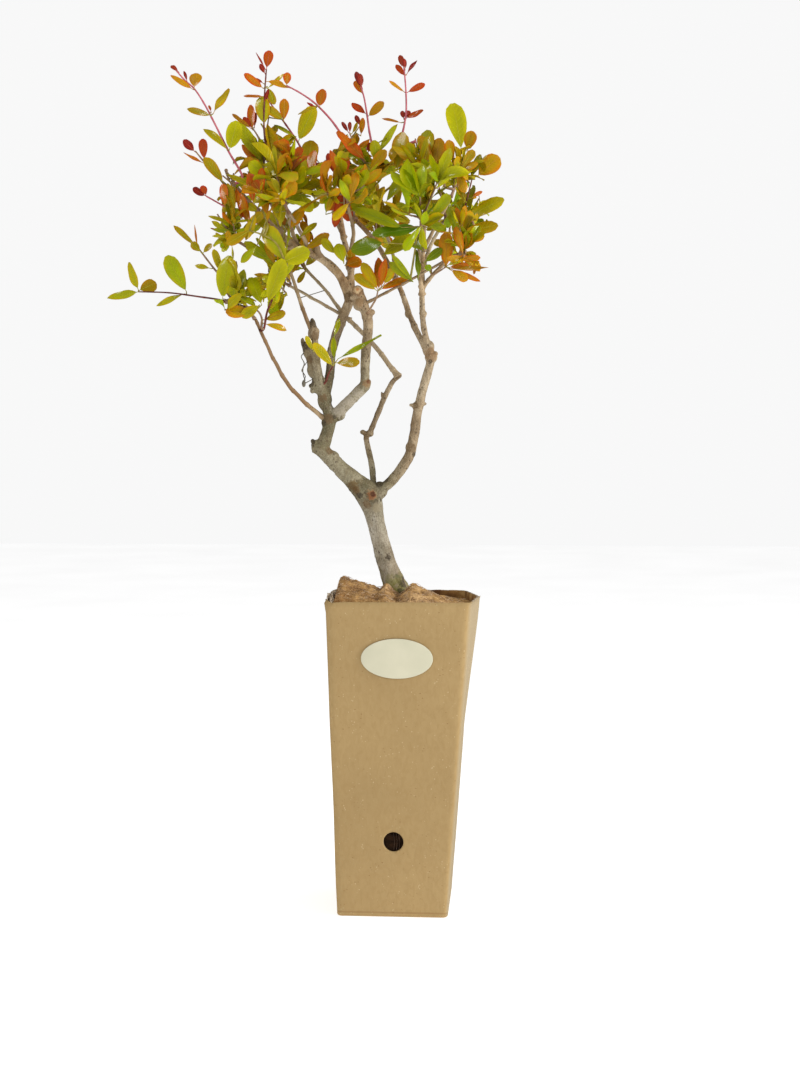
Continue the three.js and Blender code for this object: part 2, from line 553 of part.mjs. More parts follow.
// Grows one mass: shoots, side twigs and leaves, each kept only where the place is free.
function growMass(mass, shoots, isFree) {
  const random = generator(mass.seed);
  const jitter = (size) => size * (2 * random() - 1);
  const leafLength = mass.leaf ?? LEAF_LENGTH;
  const pairStep = mass.pairs ?? PAIR_STEP;
  const solids = [];
  const blades = [];

  function addLeaf(point, along, tangent, radius, length) {
    const up = tangent.clone().addScaledVector(along, -tangent.dot(along));
    if (up.lengthSq() < 0.01) up.copy(UP).addScaledVector(along, -along.z);
    up.normalize().applyAxisAngle(along, jitter(LEAF_ROLL));
    const root = point.clone().addScaledVector(along, -ROOT_DEPTH * radius);
    const leaf = leafGeometry(root, along, up, length);
    if (!probesOf(leaf).every((probe) => isFree(probe))) return;
    const blade = solidOf(leaf);
    if (blades.some((other) => other.intersect(blade).volume() > LEAF_CROSSING)) return;
    solids.push(leaf);
    blades.push(blade);
  }

  function addTwig(curve, foot, tip, level) {
    const length = curve.getLength();
    const radiusAt = (t) => THREE.MathUtils.lerp(foot, TIP_RADIUS, t);
    solids.push(tube(curve, radiusAt, 3, curve.corners.length - 1));
    const last = tip.clone().sub(curve.getPoint(1));
    addLeaf(curve.getPoint(1), last.clone().normalize(), UP, TIP_RADIUS, last.length());
    const turn = random() * Math.PI;
    const bare = level === 0 ? BARE_SHARE * length : SIDE_BARE_SHARE * pairStep;
    let pair = 0;
    for (let at = bare; at < length; at += pairStep) {
      const point = curve.getPointAt(at / length);
      const tangent = curve.getTangentAt(at / length);
      const across = new THREE.Vector3().crossVectors(tangent, UP).normalize();
      across.applyAxisAngle(tangent, turn + (pair * Math.PI) / 2 + jitter(LEAF_SWAY));
      for (const way of [1, -1]) {
        const angle = LEAF_ANGLE + jitter(LEAF_SWAY);
        const along = tangent.clone().multiplyScalar(Math.cos(angle));
        along.addScaledVector(across, way * Math.sin(angle));
        addLeaf(point, along, tangent, radiusAt(at / length), leafLength * (1 + jitter(LEAF_SPREAD)));
      }
      pair += 1;
    }
    if (level > 0) return;
    for (let at = 0.5 * SIDE_TWIG_STEP; at < length - SIDE_TWIG_STEP; at += SIDE_TWIG_STEP) {
      const from = curve.getPointAt(at / length);
      const tangent = curve.getTangentAt(at / length);
      const out = new THREE.Vector3().crossVectors(tangent, UP).normalize();
      out.applyAxisAngle(tangent, turn + (at / SIDE_TWIG_STEP) * GOLDEN_ANGLE);
      const direction = tangent.multiplyScalar(Math.cos(SIDE_TWIG_ANGLE));
      direction.addScaledVector(out, Math.sin(SIDE_TWIG_ANGLE));
      const reach = SIDE_TWIG_LENGTH * (1 + jitter(SIDE_TWIG_SPREAD));
      const end = from.clone().addScaledVector(direction, reach);
      const side = shootCurve(from, direction, end);
      const free = side.getPoints(8).every((point) => isFree(point, 2 * TWIG_RADIUS));
      if (free) addTwig(side, TWIG_RADIUS, end.clone().addScaledVector(direction, leafLength), level + 1);
    }
  }

  for (const shoot of shoots) addTwig(shoot.curve, shoot.foot, shoot.tip, 0);
  return joined(solids);
}

// Every mass keeps to the space nearer to its own shoots than to those of any other mass.
function growFoliage(group, limbs) {
  const shoots = MASSES.map((mass) => shootsOf(mass, limbs));
  const skeletons = shoots.map((own) =>
    own.flatMap(({ curve }) => chainOf(curve, () => 0).map((link) => link.at)),
  );
  const chains = Object.values(limbs).map((limb) => limb.chain);
  const nearest = (point, skeleton) =>
    skeleton.reduce((least, at) => Math.min(least, at.distanceTo(point)), Infinity);

  MASSES.forEach((mass, index) => {
    const others = skeletons.filter((_, i) => i !== index);
    const isFree = (point, extra = 0) => {
      if (!CROWN.containsPoint(point)) return false;
      const limit = nearest(point, skeletons[index]) + 2 * (CELL_MARGIN + extra);
      if (others.some((skeleton) => nearest(point, skeleton) < limit)) return false;
      return chains.every((chain) => distanceToChain(point, chain) > LIMB_CLEARANCE + extra);
    };
    piece(group, mass.name, growMass(mass, shoots[index], isFree), mass.color, 0.55);
  });
}

// ---------------------------------------------------------------- the whole

const part = new THREE.Group();
makePot(part);
makeLabel(part);

const plant = new THREE.Group();
plant.rotation.z = PLANT_TURN;
part.add(plant);
const limbs = growLimbs(plant);
growFoliage(plant, limbs);
makeFill(part, limbs.trunk);

export default part;
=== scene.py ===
import colorsys
import json
import math
import random

import bpy
import numpy as np
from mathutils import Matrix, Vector, noise


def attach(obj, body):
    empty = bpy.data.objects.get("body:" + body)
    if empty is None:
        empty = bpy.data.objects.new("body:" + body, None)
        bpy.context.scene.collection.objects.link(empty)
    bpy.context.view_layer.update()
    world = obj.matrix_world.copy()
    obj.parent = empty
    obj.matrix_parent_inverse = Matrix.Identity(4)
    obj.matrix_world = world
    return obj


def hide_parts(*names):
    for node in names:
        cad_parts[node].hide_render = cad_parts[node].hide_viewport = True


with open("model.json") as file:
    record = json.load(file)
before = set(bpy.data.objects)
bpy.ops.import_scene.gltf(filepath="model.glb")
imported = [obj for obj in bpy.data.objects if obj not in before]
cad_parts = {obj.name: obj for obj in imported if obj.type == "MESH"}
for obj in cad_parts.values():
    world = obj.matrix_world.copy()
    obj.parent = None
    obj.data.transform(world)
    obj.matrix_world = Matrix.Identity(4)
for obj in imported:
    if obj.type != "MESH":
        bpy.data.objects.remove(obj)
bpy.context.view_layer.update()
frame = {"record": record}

# Lengths below are in millimetres, and MM turns them into Blender's metres.
# The plant's own frame is the pot's, turned by PLANT_TURN about the vertical.
MM = 0.001
UP = np.array([0.0, 0.0, 1.0])
PLANT_TURN = math.radians(4)
GOLDEN_ANGLE = 2.4

# The pot and what fills it.
POT_HEIGHT = 307
POT_BASE_WIDTH = 108
POT_RIM_WIDTH = 141
POT_RIM_SHIFT = 7
POT_CORNER = 5
POT_BOARD = 2.4
DRAIN_RADIUS = 9.7
DRAIN_HEIGHT = 74
LABEL_WIDTH = 69
LABEL_HEIGHT = 38.5
LABEL_CENTRE = 253
LABEL_THICKNESS = 0.5
FILL_TOP = 296
ROOT_BALL_TOP = 292
GROUND = 312

# The rule that shoots, twigs and leaves grow by.
LEAF_LENGTH = 44
LEAF_SPREAD = 0.22
LEAF_ANGLE = math.radians(52)
LEAF_ROLL = 0.5
LEAF_SWAY = 0.3
PAIR_STEP = 14
BARE_SHARE = 0.18
SIDE_BARE_SHARE = 0.4
SHOOT_RADIUS = 1.3
TWIG_RADIUS = 1
TIP_RADIUS = 0.7
SIDE_TWIG_LENGTH = 38
SIDE_TWIG_SPREAD = 0.3
SIDE_TWIG_ANGLE = math.radians(53)
SIDE_TWIG_STEP = 36
SHOOT_CLIMB = 0.25
SHOOT_START = 0.35
SHOOT_END = 0.3
FIRST_FORK = 0.2
FORKING_SHARE = 0.4
FORK_LEAN = 0.7
CELL_MARGIN = 1.0
LIMB_CLEARANCE = 1.2
CHAIN_STEP = 5
CROWN_LOW = np.array([-291, -130, 500])
CROWN_HIGH = np.array([109, 140, 852])

# The limbs: what carries each, its radius at foot and tip, and the points that its centre line bends
# at. They are the source's own.
TRUNK_FOOT = 12.5
TRUNK_WAIST = 9.6
TRUNK_X = 1
OLD_RADIUS = 3  # of a limb's foot, above which its bark is old
LIMBS = {
    "trunk": (None, TRUNK_WAIST, 8.2, [
        (TRUNK_X, 0, GROUND), (-5, 0, 328), (-11, 0, 345), (-20, 0, 383), (-23, 0, 411)]),
    "left_bough": ("trunk", 8.2, 7.2, [(-23, 0, 411), (-54, -3, 434), (-76, -4, 455)]),
    "elbow_stub": ("left_bough", 5.4, 4.4, [(-76, -4, 455), (-88, -5, 468)]),
    "old_stub_bough": ("left_bough", 6.8, 4.2, [
        (-74, -4, 453), (-66, -4, 484), (-71, -5, 502), (-84, -5, 541), (-91, -6, 560)]),
    "snag": ("old_stub_bough", 4.6, 3.4, [(-72, -4, 508), (-78, -16, 534), (-82, -15, 581)]),
    "snag_shoot": ("snag", 2.2, 1.6, [(-81, -15, 566), (-92, -16, 592), (-104, -18, 629)]),
    "inner_bough": ("old_stub_bough", 4.4, 5, [
        (-71, -4, 503), (-66, 3, 530), (-64, 2, 553), (-54, 4, 584), (-45, 6, 605)]),
    "cut_bough_foot": ("old_stub_bough", 5.8, 5.6, [(-66, -4, 482), (-48, -8, 500), (-31, -9, 517)]),
    "cut_bough": ("cut_bough_foot", 4.6, 5.4, [
        (-31, -9, 517), (-30, -8, 550), (-28, -7, 581), (-38, -8, 612)]),
    "slim_bough": ("old_stub_bough", 2.3, 1.6, [(-67, -4, 480), (-106, -12, 517), (-139, -20, 582)]),
    "thin_stem": ("trunk", 3.1, 2.7, [(-23, 4, 404), (-29, 16, 462), (-13, 15, 500), (2, 14, 527)]),
    "thin_stem_upper": ("thin_stem", 2.6, 2.2, [(2, 14, 527), (-23, 17, 560), (-54, 20, 591)]),
    "back_left_shoot": ("thin_stem_upper", 1.8, 1.5, [
        (-54, 20, 591), (-72, 34, 616), (-92, 52, 638)]),
    "back_low_shoot": ("thin_stem_upper", 1.8, 1.4, [
        (-46, 19, 584), (-76, 24, 602), (-108, 30, 620)]),
    "right_bough": ("trunk", 5.4, 4.4, [
        (-22, 0, 408), (-3, -2, 424), (13, -4, 447), (18, -4, 468), (22, -5, 494), (35, -5, 543)]),
    "right_inner_bough": ("right_bough", 3.3, 2.2, [
        (35, -5, 543), (17, 2, 580), (2, 9, 620), (-21, 17, 663), (-41, 24, 686)]),
    "right_outer_bough": ("right_bough", 3.4, 2, [
        (35, -5, 543), (27, -7, 580), (26, -6, 617), (27, -3, 650), (29, 0, 690)]),
    "far_right_shoot": ("right_outer_bough", 2, 1.5, [
        (26, -6, 615), (37, -9, 627), (52, -8, 645), (63, 0, 670)]),
    "front_twig": ("cut_bough", 1.5, 1.2, [(-32, -7, 598), (1, -26, 613), (56, -48, 641)]),
    "upper_left_bough": ("inner_bough", 5, 2.6, [
        (-46, 5, 605), (-56, 0, 627), (-75, -5, 644), (-101, -8, 656), (-136, -12, 689)]),
    "upper_left_stub": ("upper_left_bough", 3, 2.6, [(-77, -5, 645), (-80, -12, 660)]),
    "left_shoot": ("upper_left_bough", 1.8, 1.4, [
        (-101, -8, 656), (-122, -20, 645), (-146, -24, 653)]),
    "left_top_shoot": ("upper_left_bough", 2, 1.6, [
        (-112, -9, 665), (-118, 0, 682), (-126, 3, 702)]),
    "left_front_shoot": ("upper_left_bough", 2.2, 1.6, [
        (-84, -6, 648), (-92, -30, 664), (-103, -50, 682)]),
    "left_back_shoot": ("upper_left_bough", 2.2, 1.6, [
        (-98, -8, 655), (-106, 18, 678), (-114, 44, 702)]),
    "upright_bough": ("inner_bough", 4, 2, [
        (-45, 6, 605), (-46, 12, 641), (-53, 8, 668), (-56, 0, 698), (-54, -4, 719)]),
    "top_shoot": ("upright_bough", 2, 1.5, [(-52, 8, 666), (-64, 24, 696), (-60, 30, 728)]),
    "centre_front_shoot": ("upright_bough", 2.2, 1.6, [
        (-47, 11, 645), (-42, -20, 668), (-46, -45, 690)]),
    "centre_back_shoot": ("right_inner_bough", 2.1, 1.5, [
        (0, 9, 624), (-4, 34, 656), (-16, 54, 688)]),
    "right_top_shoot": ("right_outer_bough", 2, 1.5, [
        (27, -3, 652), (40, -14, 676), (54, -18, 702)]),
    "right_back_shoot": ("right_outer_bough", 2.2, 1.6, [
        (27, -4, 636), (36, 24, 662), (48, 50, 686)]),
    "right_front_shoot": ("right_outer_bough", 2.2, 1.6, [
        (26, -6, 608), (22, -30, 638), (24, -50, 666)]),
}
CUT_LIMBS = ("elbow_stub", "old_stub_bough", "snag", "cut_bough", "upper_left_stub")

# The tints of leaves, by letter: the record's slot, the colour of a leaf's middle and that of its edge.
TINTS = {
    "R": ("leaves_red", (150, 44, 22), (122, 24, 20)),
    "B": ("leaves_red", (180, 86, 10), (172, 42, 14)),
    "C": ("leaves_orange", (182, 120, 6), (192, 70, 12)),
    "A": ("leaves_orange", (174, 140, 4), (192, 94, 8)),
    "G": ("leaves_orange", (168, 152, 4), (190, 118, 6)),
    "O": ("leaves_yellow_green", (152, 146, 3), (178, 130, 5)),
    "Y": ("leaves_yellow_green", (156, 160, 4), (180, 154, 6)),
    "L": ("leaves_yellow_green", (158, 168, 4), (180, 172, 8)),
    "N": ("leaves_green", (124, 140, 3), (152, 146, 6)),
    "D": ("leaves_green", (90, 116, 4), (118, 126, 6)),
}

# The foliage masses, as in the source: what carries each, the seed it grows by and the tips its shoots
# reach for. Its tints are given from the tips inwards. The two clusters of old wood have a foot, pairs
# of leaves and a leaf length of their own.
MASSES = {
    "foliage_upper_left": dict(
        on="upper_left_bough", seed=11, tints=("AGO", "AOY", "OYG"),
        tips=[(-224, -20, 836), (-213, -42, 764), (-168, 8, 790), (-190, 14, 742)]),
    "foliage_left": dict(
        on="left_shoot", seed=42, tints=("CGO", "OYY", "YOL"),
        tips=[(-202, -50, 713), (-168, -78, 690), (-196, -14, 684), (-176, -52, 655)]),
    "foliage_left_top": dict(
        on="left_top_shoot", seed=13, tints=("CGY", "GOY", "YOL"),
        tips=[(-126, 10, 851), (-112, -22, 780), (-148, 22, 775)]),
    "foliage_lower_left": dict(
        on="slim_bough", seed=14, tints=("YL", "YYL", "YLO"),
        tips=[(-289, -26, 604), (-206, -14, 662), (-168, -52, 626), (-222, -58, 600)]),
    "foliage_lower_left_inner": dict(
        on="snag_shoot", seed=15, tints=("YYG", "YLL", "YLO"),
        tips=[(-160, -44, 622), (-124, -62, 592), (-138, -74, 640), (-92, -60, 640)]),
    "foliage_top_left": dict(
        on="upright_bough", seed=46, tints=("AGO", "OYY", "YLY"),
        tips=[(-110, -22, 818), (-124, 4, 800), (-70, -38, 778), (-92, -54, 758)]),
    "foliage_top_middle": dict(
        on="top_shoot", seed=47, tints=("CAG", "GOY", "YOL"),
        tips=[(-38, 22, 828), (-34, 66, 780), (-70, 62, 792), (-98, 48, 762)]),
    "foliage_centre_front": dict(
        on="centre_front_shoot", seed=48, tints=("CGY", "GOY", "YOL"),
        tips=[(-58, -104, 748), (-14, -96, 722), (-84, -112, 702), (-40, -124, 684)]),
    "foliage_centre_back": dict(
        on="centre_back_shoot", seed=19, tints=("AGO", "YOY", "YO"),
        tips=[(-24, 118, 740), (10, 124, 716), (-66, 116, 718), (-28, 138, 676)]),
    "foliage_centre": dict(
        on="right_inner_bough", seed=20, tints=("YGO", "YYO", "NY"),
        tips=[(-18, 0, 764), (6, 36, 766), (-34, 66, 724)]),
    "foliage_top_right": dict(
        on="right_outer_bough", seed=51, tints=("GAO", "OGY", "YLO"),
        tips=[(5, 0, 846), (36, 28, 800), (2, -36, 792), (20, -48, 766)]),
    "foliage_right_top": dict(
        on="right_top_shoot", seed=22, tints=("GOA", "OGY", "YOL"),
        tips=[(57, -22, 801), (86, -30, 768), (70, -66, 744), (96, -50, 722)]),
    "foliage_right": dict(
        on="far_right_shoot", seed=23, tints=("GYY", "YLY", "NLY"),
        tips=[(107, 8, 748), (110, -8, 706), (90, 44, 722), (102, 32, 668)]),
    "foliage_lower_right": dict(
        on="front_twig", seed=24, tints=("AAG", "GYA", "YNG"),
        tips=[(102, -62, 660), (96, -52, 630), (66, -104, 686), (72, -92, 634)]),
    "foliage_right_back": dict(
        on="right_back_shoot", seed=25, tints=("YOG", "NOY", "NNY"),
        tips=[(74, 112, 734), (40, 92, 772), (100, 84, 692), (66, 112, 650)]),
    "foliage_right_front": dict(
        on="right_front_shoot", seed=26, tints=("OLG", "NLO", "DNN"),
        tips=[(22, -118, 718), (52, -100, 742), (0, -92, 690), (26, -122, 664)]),
    "foliage_back_left": dict(
        on="back_left_shoot", seed=27, tints=("YAG", "YYO", "OY"),
        tips=[(-130, 122, 716), (-82, 130, 700), (-150, 110, 664), (-100, 128, 650)]),
    "foliage_back_low": dict(
        on="back_low_shoot", seed=28, tints=("YL", "YYO", "OY"),
        tips=[(-172, 66, 660), (-158, 76, 616), (-120, 88, 612)]),
    "foliage_left_front": dict(
        on="left_front_shoot", seed=29, tints=("CGY", "GYY", "YOL"),
        tips=[(-122, -112, 742), (-96, -92, 756), (-154, -98, 712), (-112, -122, 694)]),
    "foliage_left_back": dict(
        on="left_back_shoot", seed=30, tints=("AGY", "YYO", "OY"),
        tips=[(-136, 66, 796), (-96, 88, 782), (-168, 70, 744), (-124, 96, 748)]),
    "foliage_inner_sprig": dict(
        on="inner_bough", foot=(-66, 2, 530), seed=31, pairs=14, leaf=26, tints=("YOY", "YGY", "NL"),
        tips=[(-44, -22, 562), (-76, -34, 562), (-58, -30, 584)]),
    "foliage_spur_cluster": dict(
        on="cut_bough", foot=(-28, -7, 586), seed=32, pairs=12, leaf=28, tints=("CAA", "AAG", "AG"),
        tips=[(0, 2, 630), (-12, 30, 622)]),
}

# ---------------------------------------------------------------- lines through space


def unit(vectors):
    """The vectors at length 1."""
    return vectors / np.maximum(np.linalg.norm(vectors, axis=-1, keepdims=True), 1e-9)


def turned(vector, axis, angle):
    """The vector turned about a unit axis."""
    across = np.cross(axis, vector)
    return (vector * math.cos(angle) + across * math.sin(angle)
            + axis * np.dot(axis, vector) * (1 - math.cos(angle)))


def turned_flat(points, turn):
    """Points turned about the vertical."""
    x, y, z = np.asarray(points, float).T
    c, s = math.cos(turn), math.sin(turn)
    return np.stack([x * c - y * s, x * s + y * c, z], -1)


def smooth_step(low, high, value):
    """0 up to low and 1 from high on, with an even rise between."""
    t = np.clip((value - low) / (high - low), 0, 1)
    return t * t * (3 - 2 * t)


def spline(points, steps=16):
    """A centripetal Catmull-Rom curve through the points, as many short steps."""
    p = np.array(points, float)
    ends = [2 * p[0] - p[1], *p, 2 * p[-1] - p[-2]]
    t = np.linspace(0, 1, steps, endpoint=False)[:, None]
    out = []
    for a, b, c, d in zip(ends, ends[1:], ends[2:], ends[3:]):
        before, here, after = (math.sqrt(np.linalg.norm(v)) for v in (b - a, c - b, d - c))
        leave = ((b - a) / before - (c - a) / (before + here) + (c - b) / here) * here
        arrive = ((c - b) / here - (d - b) / (here + after) + (d - c) / after) * here
        out.append(b + leave * t + (3 * (c - b) - 2 * leave - arrive) * t ** 2
                   + (2 * (b - c) + leave + arrive) * t ** 3)
    return np.vstack([*out, p[-1:]])


class Line:
    """A line through space, read by the share of its length."""

    def __init__(self, points):
        self.points = np.asarray(points, float)
        steps = np.linalg.norm(np.diff(self.points, axis=0), axis=1)
        self.marks = np.concatenate([[0], np.cumsum(steps)])
        self.length = self.marks[-1]

    def at(self, share):
        where = np.asarray(share) * self.length
        return np.stack([np.interp(where, self.marks, self.points[:, k]) for k in range(3)], -1)

    def heading(self, share):
        reach = 0.5 / self.length
        return unit(self.at(min(share + reach, 1)) - self.at(max(share - reach, 0)))

    def spaced(self, step):
        return self.at(np.linspace(0, 1, max(2, math.ceil(self.length / step) + 1)))


def shoot_line(start, direction, end):
    """A shoot sets off in one direction and arrives at its end still climbing a little."""
    reach = np.linalg.norm(end - start)
    arrival = (1 - SHOOT_CLIMB) * unit(end - start) + SHOOT_CLIMB * UP
    a, b = start + direction * SHOOT_START * reach, end - arrival * SHOOT_END * reach
    t = np.linspace(0, 1, 15)[:, None]
    near, far = 3 * t * (1 - t) ** 2, 3 * t ** 2 * (1 - t)
    return Line((1 - t) ** 3 * start + near * a + far * b + t ** 3 * end)


def generator(seed):
    """The mulberry32 generator: a seed gives the same run of numbers from 0 to 1 every time."""
    full = 0xFFFFFFFF
    state = seed

    def draw():
        nonlocal state
        state = (state + 0x6D2B79F5) & full
        t = state
        t = ((t ^ (t >> 15)) * (t | 1)) & full
        t ^= (t + (((t ^ (t >> 7)) * (t | 61)) & full)) & full
        return ((t ^ (t >> 14)) & full) / 4294967296

    return draw


# ---------------------------------------------------------------- meshes


class Heap:
    """Points and faces gathered into one mesh."""

    def __init__(self):
        self.points, self.faces, self.tints, self.count = [], [], [], 0

    def add(self, points, *face_sets, tint=0):
        """Points, with faces that are numbered from the first of them."""
        for faces in face_sets:
            self.faces.extend((np.asarray(faces) + self.count).tolist())
            self.tints.extend([tint] * len(faces))
        self.points.append(points)
        self.count += len(points)

    def piece(self, name, materials, turn=0.0, smooth=True, scale=MM):
        """The mesh as an object, where a face's tint is the number of its material."""
        mesh = bpy.data.meshes.new(name)
        points = turned_flat(np.vstack(self.points) * scale, turn)
        mesh.from_pydata(points.tolist(), [], self.faces)
        for material in materials:
            mesh.materials.append(material)
        mesh.polygons.foreach_set("material_index", self.tints)
        mesh.polygons.foreach_set("use_smooth", [smooth] * len(self.faces))
        mesh.update()
        made = bpy.data.objects.new(name, mesh)
        bpy.context.scene.collection.objects.link(made)
        return made


def grid_faces(rows, columns, closed=False):
    """The four-sided faces between rows of points, which may close into rings."""
    across = columns if closed else columns - 1
    i, j = np.meshgrid(np.arange(rows - 1), np.arange(across), indexing="ij")
    a, b = i * columns + j, i * columns + (j + 1) % columns
    return np.stack([a, b, b + columns, a + columns], -1).reshape(-1, 4)


def fan_faces(centre, start, sides, flip=False):
    """Three-sided faces between a centre and the ring of points that begins at start."""
    here = start + np.arange(sides)
    after = start + (np.arange(sides) + 1) % sides
    pair = (after, here) if flip else (here, after)
    return np.stack([np.full(sides, centre), *pair], -1)


def tube(line_points, radii, sides):
    """A tube along points, with a fan at each end: its points, its walls and its fans."""
    along = unit(np.gradient(line_points, axis=0))
    across = np.empty_like(along)
    side = np.cross(along[0], [0.31, 0.95, 0.05])
    for i, way in enumerate(along):
        side = unit(side - way * np.dot(side, way))
        across[i] = side
    other = np.cross(along, across)
    angles = np.linspace(0, 2 * math.pi, sides, endpoint=False)
    ring = across[:, None] * np.cos(angles)[:, None] + other[:, None] * np.sin(angles)[:, None]
    points = line_points[:, None] + ring * np.asarray(radii)[:, None, None]
    count = len(line_points) * sides
    foot = fan_faces(count, 0, sides, flip=True)
    fans = np.vstack([foot, fan_faces(count + 1, count - sides, sides)])
    points = np.vstack([points.reshape(-1, 3), line_points[:1], line_points[-1:]])
    return points, grid_faces(len(line_points), sides, closed=True), fans


def add_tube(heap, line_points, radii, sides, tint=0):
    heap.add(*tube(np.asarray(line_points, float), radii, sides), tint=tint)


def apply_modifiers(made):
    graph = bpy.context.evaluated_depsgraph_get()
    mesh = bpy.data.meshes.new_from_object(made.evaluated_get(graph))
    made.modifiers.clear()
    made.data = mesh


def vectors_of(mesh, key):
    """A vector for each point of a mesh: its place ("co") or its direction out ("normal")."""
    flat = np.empty(len(mesh.vertices) * 3, np.float32)
    mesh.vertices.foreach_get(key, flat)
    return flat.reshape(-1, 3).astype(float)


def waves(points, size):
    """Smooth noise from -1 to 1 at each point, with waves of about the given size."""
    return np.array([noise.noise(Vector(p)) for p in points / size])


def dressed(made, slot, *nodes):
    """A finished piece: it rides on the part's one body and stands for these CAD nodes."""
    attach(made, "root")
    if nodes:
        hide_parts(*nodes)
    return made


# ---------------------------------------------------------------- materials


def linear(rgb):
    """A colour of 0 to 255 a channel, as the eye sees it, in Blender's linear light."""
    shares = [c / 255 / 12.92 if c <= 10 else ((c / 255 + 0.055) / 1.055) ** 2.4 for c in rgb]
    return (*shares, 1)


class Shader:
    """A material whose nodes are added one by one. Its methods give a node's output, and take outputs,
    numbers and colours."""

    def __init__(self, name, roughness, specular=0.5):
        self.material = bpy.data.materials.new(name)
        self.material.use_nodes = True
        self.tree = self.material.node_tree
        self.surface = self.tree.nodes["Principled BSDF"]
        self.feed(self.surface, {"Roughness": roughness, "Specular IOR Level": specular})
        self.place = self.node("TexCoord").outputs["Object"]

    def feed(self, node, inputs):
        """Link each input to the output given for it, or set it to the value given for it."""
        for key, value in inputs.items():
            if isinstance(value, bpy.types.NodeSocket):
                self.tree.links.new(value, node.inputs[key])
            else:
                node.inputs[key].default_value = value

    def node(self, kind, inputs=None, **settings):
        node = self.tree.nodes.new("ShaderNode" + kind)
        for key, value in settings.items():
            setattr(node, key, value)
        self.feed(node, inputs or {})
        return node

    def stretched(self, x, y, z):
        return self.node("Mapping", {"Vector": self.place, "Scale": (x, y, z)}).outputs["Vector"]

    def noise(self, scale, detail=3.0, place=None, distortion=0.0):
        shape = {"Scale": scale, "Detail": detail, "Distortion": distortion}
        return self.node("TexNoise", {"Vector": place or self.place, **shape}).outputs["Fac"]

    def flecks(self, scale, x, y, z, full, gone):
        """1 in the middle of stretched cells, up to one distance, and 0 from another one."""
        cells = self.node("TexVoronoi", {"Vector": self.stretched(x, y, z), "Scale": scale})
        return self.ramp(cells.outputs["Distance"], (full, 1.0), (gone, 0.0))

    def axis(self, letter):
        return self.node("SeparateXYZ", {"Vector": self.place}).outputs[letter]

    def facing(self, letter):
        """How far the surface faces along an axis of the object."""
        normal = self.node("TexCoord").outputs["Normal"]
        return self.node("SeparateXYZ", {"Vector": normal}).outputs[letter]

    def math(self, operation, a, b=0.0):
        return self.node("Math", {0: a, 1: b}, operation=operation).outputs["Value"]

    def times(self, a, b):
        return self.math("MULTIPLY", a, b)

    def leaf_place(self):
        """A place on a leaf: its share from root to tip, its share from midrib to edge, and a number
        from 0 to 1 that is the leaf's own."""
        place = self.node("Attribute", attribute_name="leaf_place").outputs["Vector"]
        along, across, own = self.node("SeparateXYZ", {"Vector": place}).outputs
        return along, self.math("ABSOLUTE", across), own

    def veins(self, along, across):
        """Side veins that leave the midrib at a slant: 1 on a vein and 0 between them."""
        slanted = self.math("SUBTRACT", self.times(along, 9.0), self.times(across, 1.6))
        return self.ramp(self.math("FRACT", slanted), (0.0, 1.0), (0.14, 0.0), (0.86, 0.0), (1.0, 1.0))

    def near(self, centre, radius, ragged):
        """1 near a place of the plant, in millimetres, and 0 away from it, with a ragged edge."""
        place = turned_flat(centre, PLANT_TURN) * MM
        gap = self.node("VectorMath", {0: self.place, 1: tuple(place)}, operation="DISTANCE")
        reach = self.times(gap.outputs["Value"], ragged)
        return self.range(reach, 0.75 * radius * MM, 1.1 * radius * MM, 1.0, 0.0)

    def ramp(self, value, *stops):
        """A number turned into a colour, or into a share where the stops are plain numbers."""
        node = self.node("ValToRGB", {"Fac": value})
        points = node.color_ramp.elements
        while len(points) < len(stops):
            points.new(0.5)
        for point, (position, color) in zip(points, stops):
            point.position = position
            point.color = linear(color) if isinstance(color, tuple) else (color, color, color, 1)
        return node.outputs["Color"]

    def tones(self, value, dark, middle, pale):
        """A patchy number turned into three tones of one colour."""
        return self.ramp(value, (0.36, dark), (0.5, middle), (0.64, pale))

    def range(self, value, low, high, start=0.0, end=1.0):
        limits = {"From Min": low, "From Max": high, "To Min": start, "To Max": end}
        return self.node("MapRange", {"Value": value, **limits}).outputs["Result"]

    def mix(self, factor, a, b):
        """The colour a, with b over it by the factor's share."""
        a, b = (linear(color) if isinstance(color, tuple) else color for color in (a, b))
        return self.node("Mix", {"Factor": factor, 6: a, 7: b}, data_type="RGBA").outputs[2]

    def color(self, value):
        self.feed(self.surface, {"Base Color": value})

    def roughness(self, value, low, high):
        """Roughness from low to high, where the value runs from 0.3 to 0.7."""
        self.feed(self.surface, {"Roughness": self.range(value, 0.3, 0.7, low, high)})

    def bump(self, value, distance, strength=1.0):
        """Relief of the given depth in millimetres, on top of any that is there."""
        node = self.node("Bump", {"Height": value, "Strength": strength, "Distance": distance * MM})
        below = self.surface.inputs["Normal"]
        if below.is_linked:
            self.feed(node, {"Normal": below.links[0].from_socket})
        self.feed(self.surface, {"Normal": node.outputs["Normal"]})


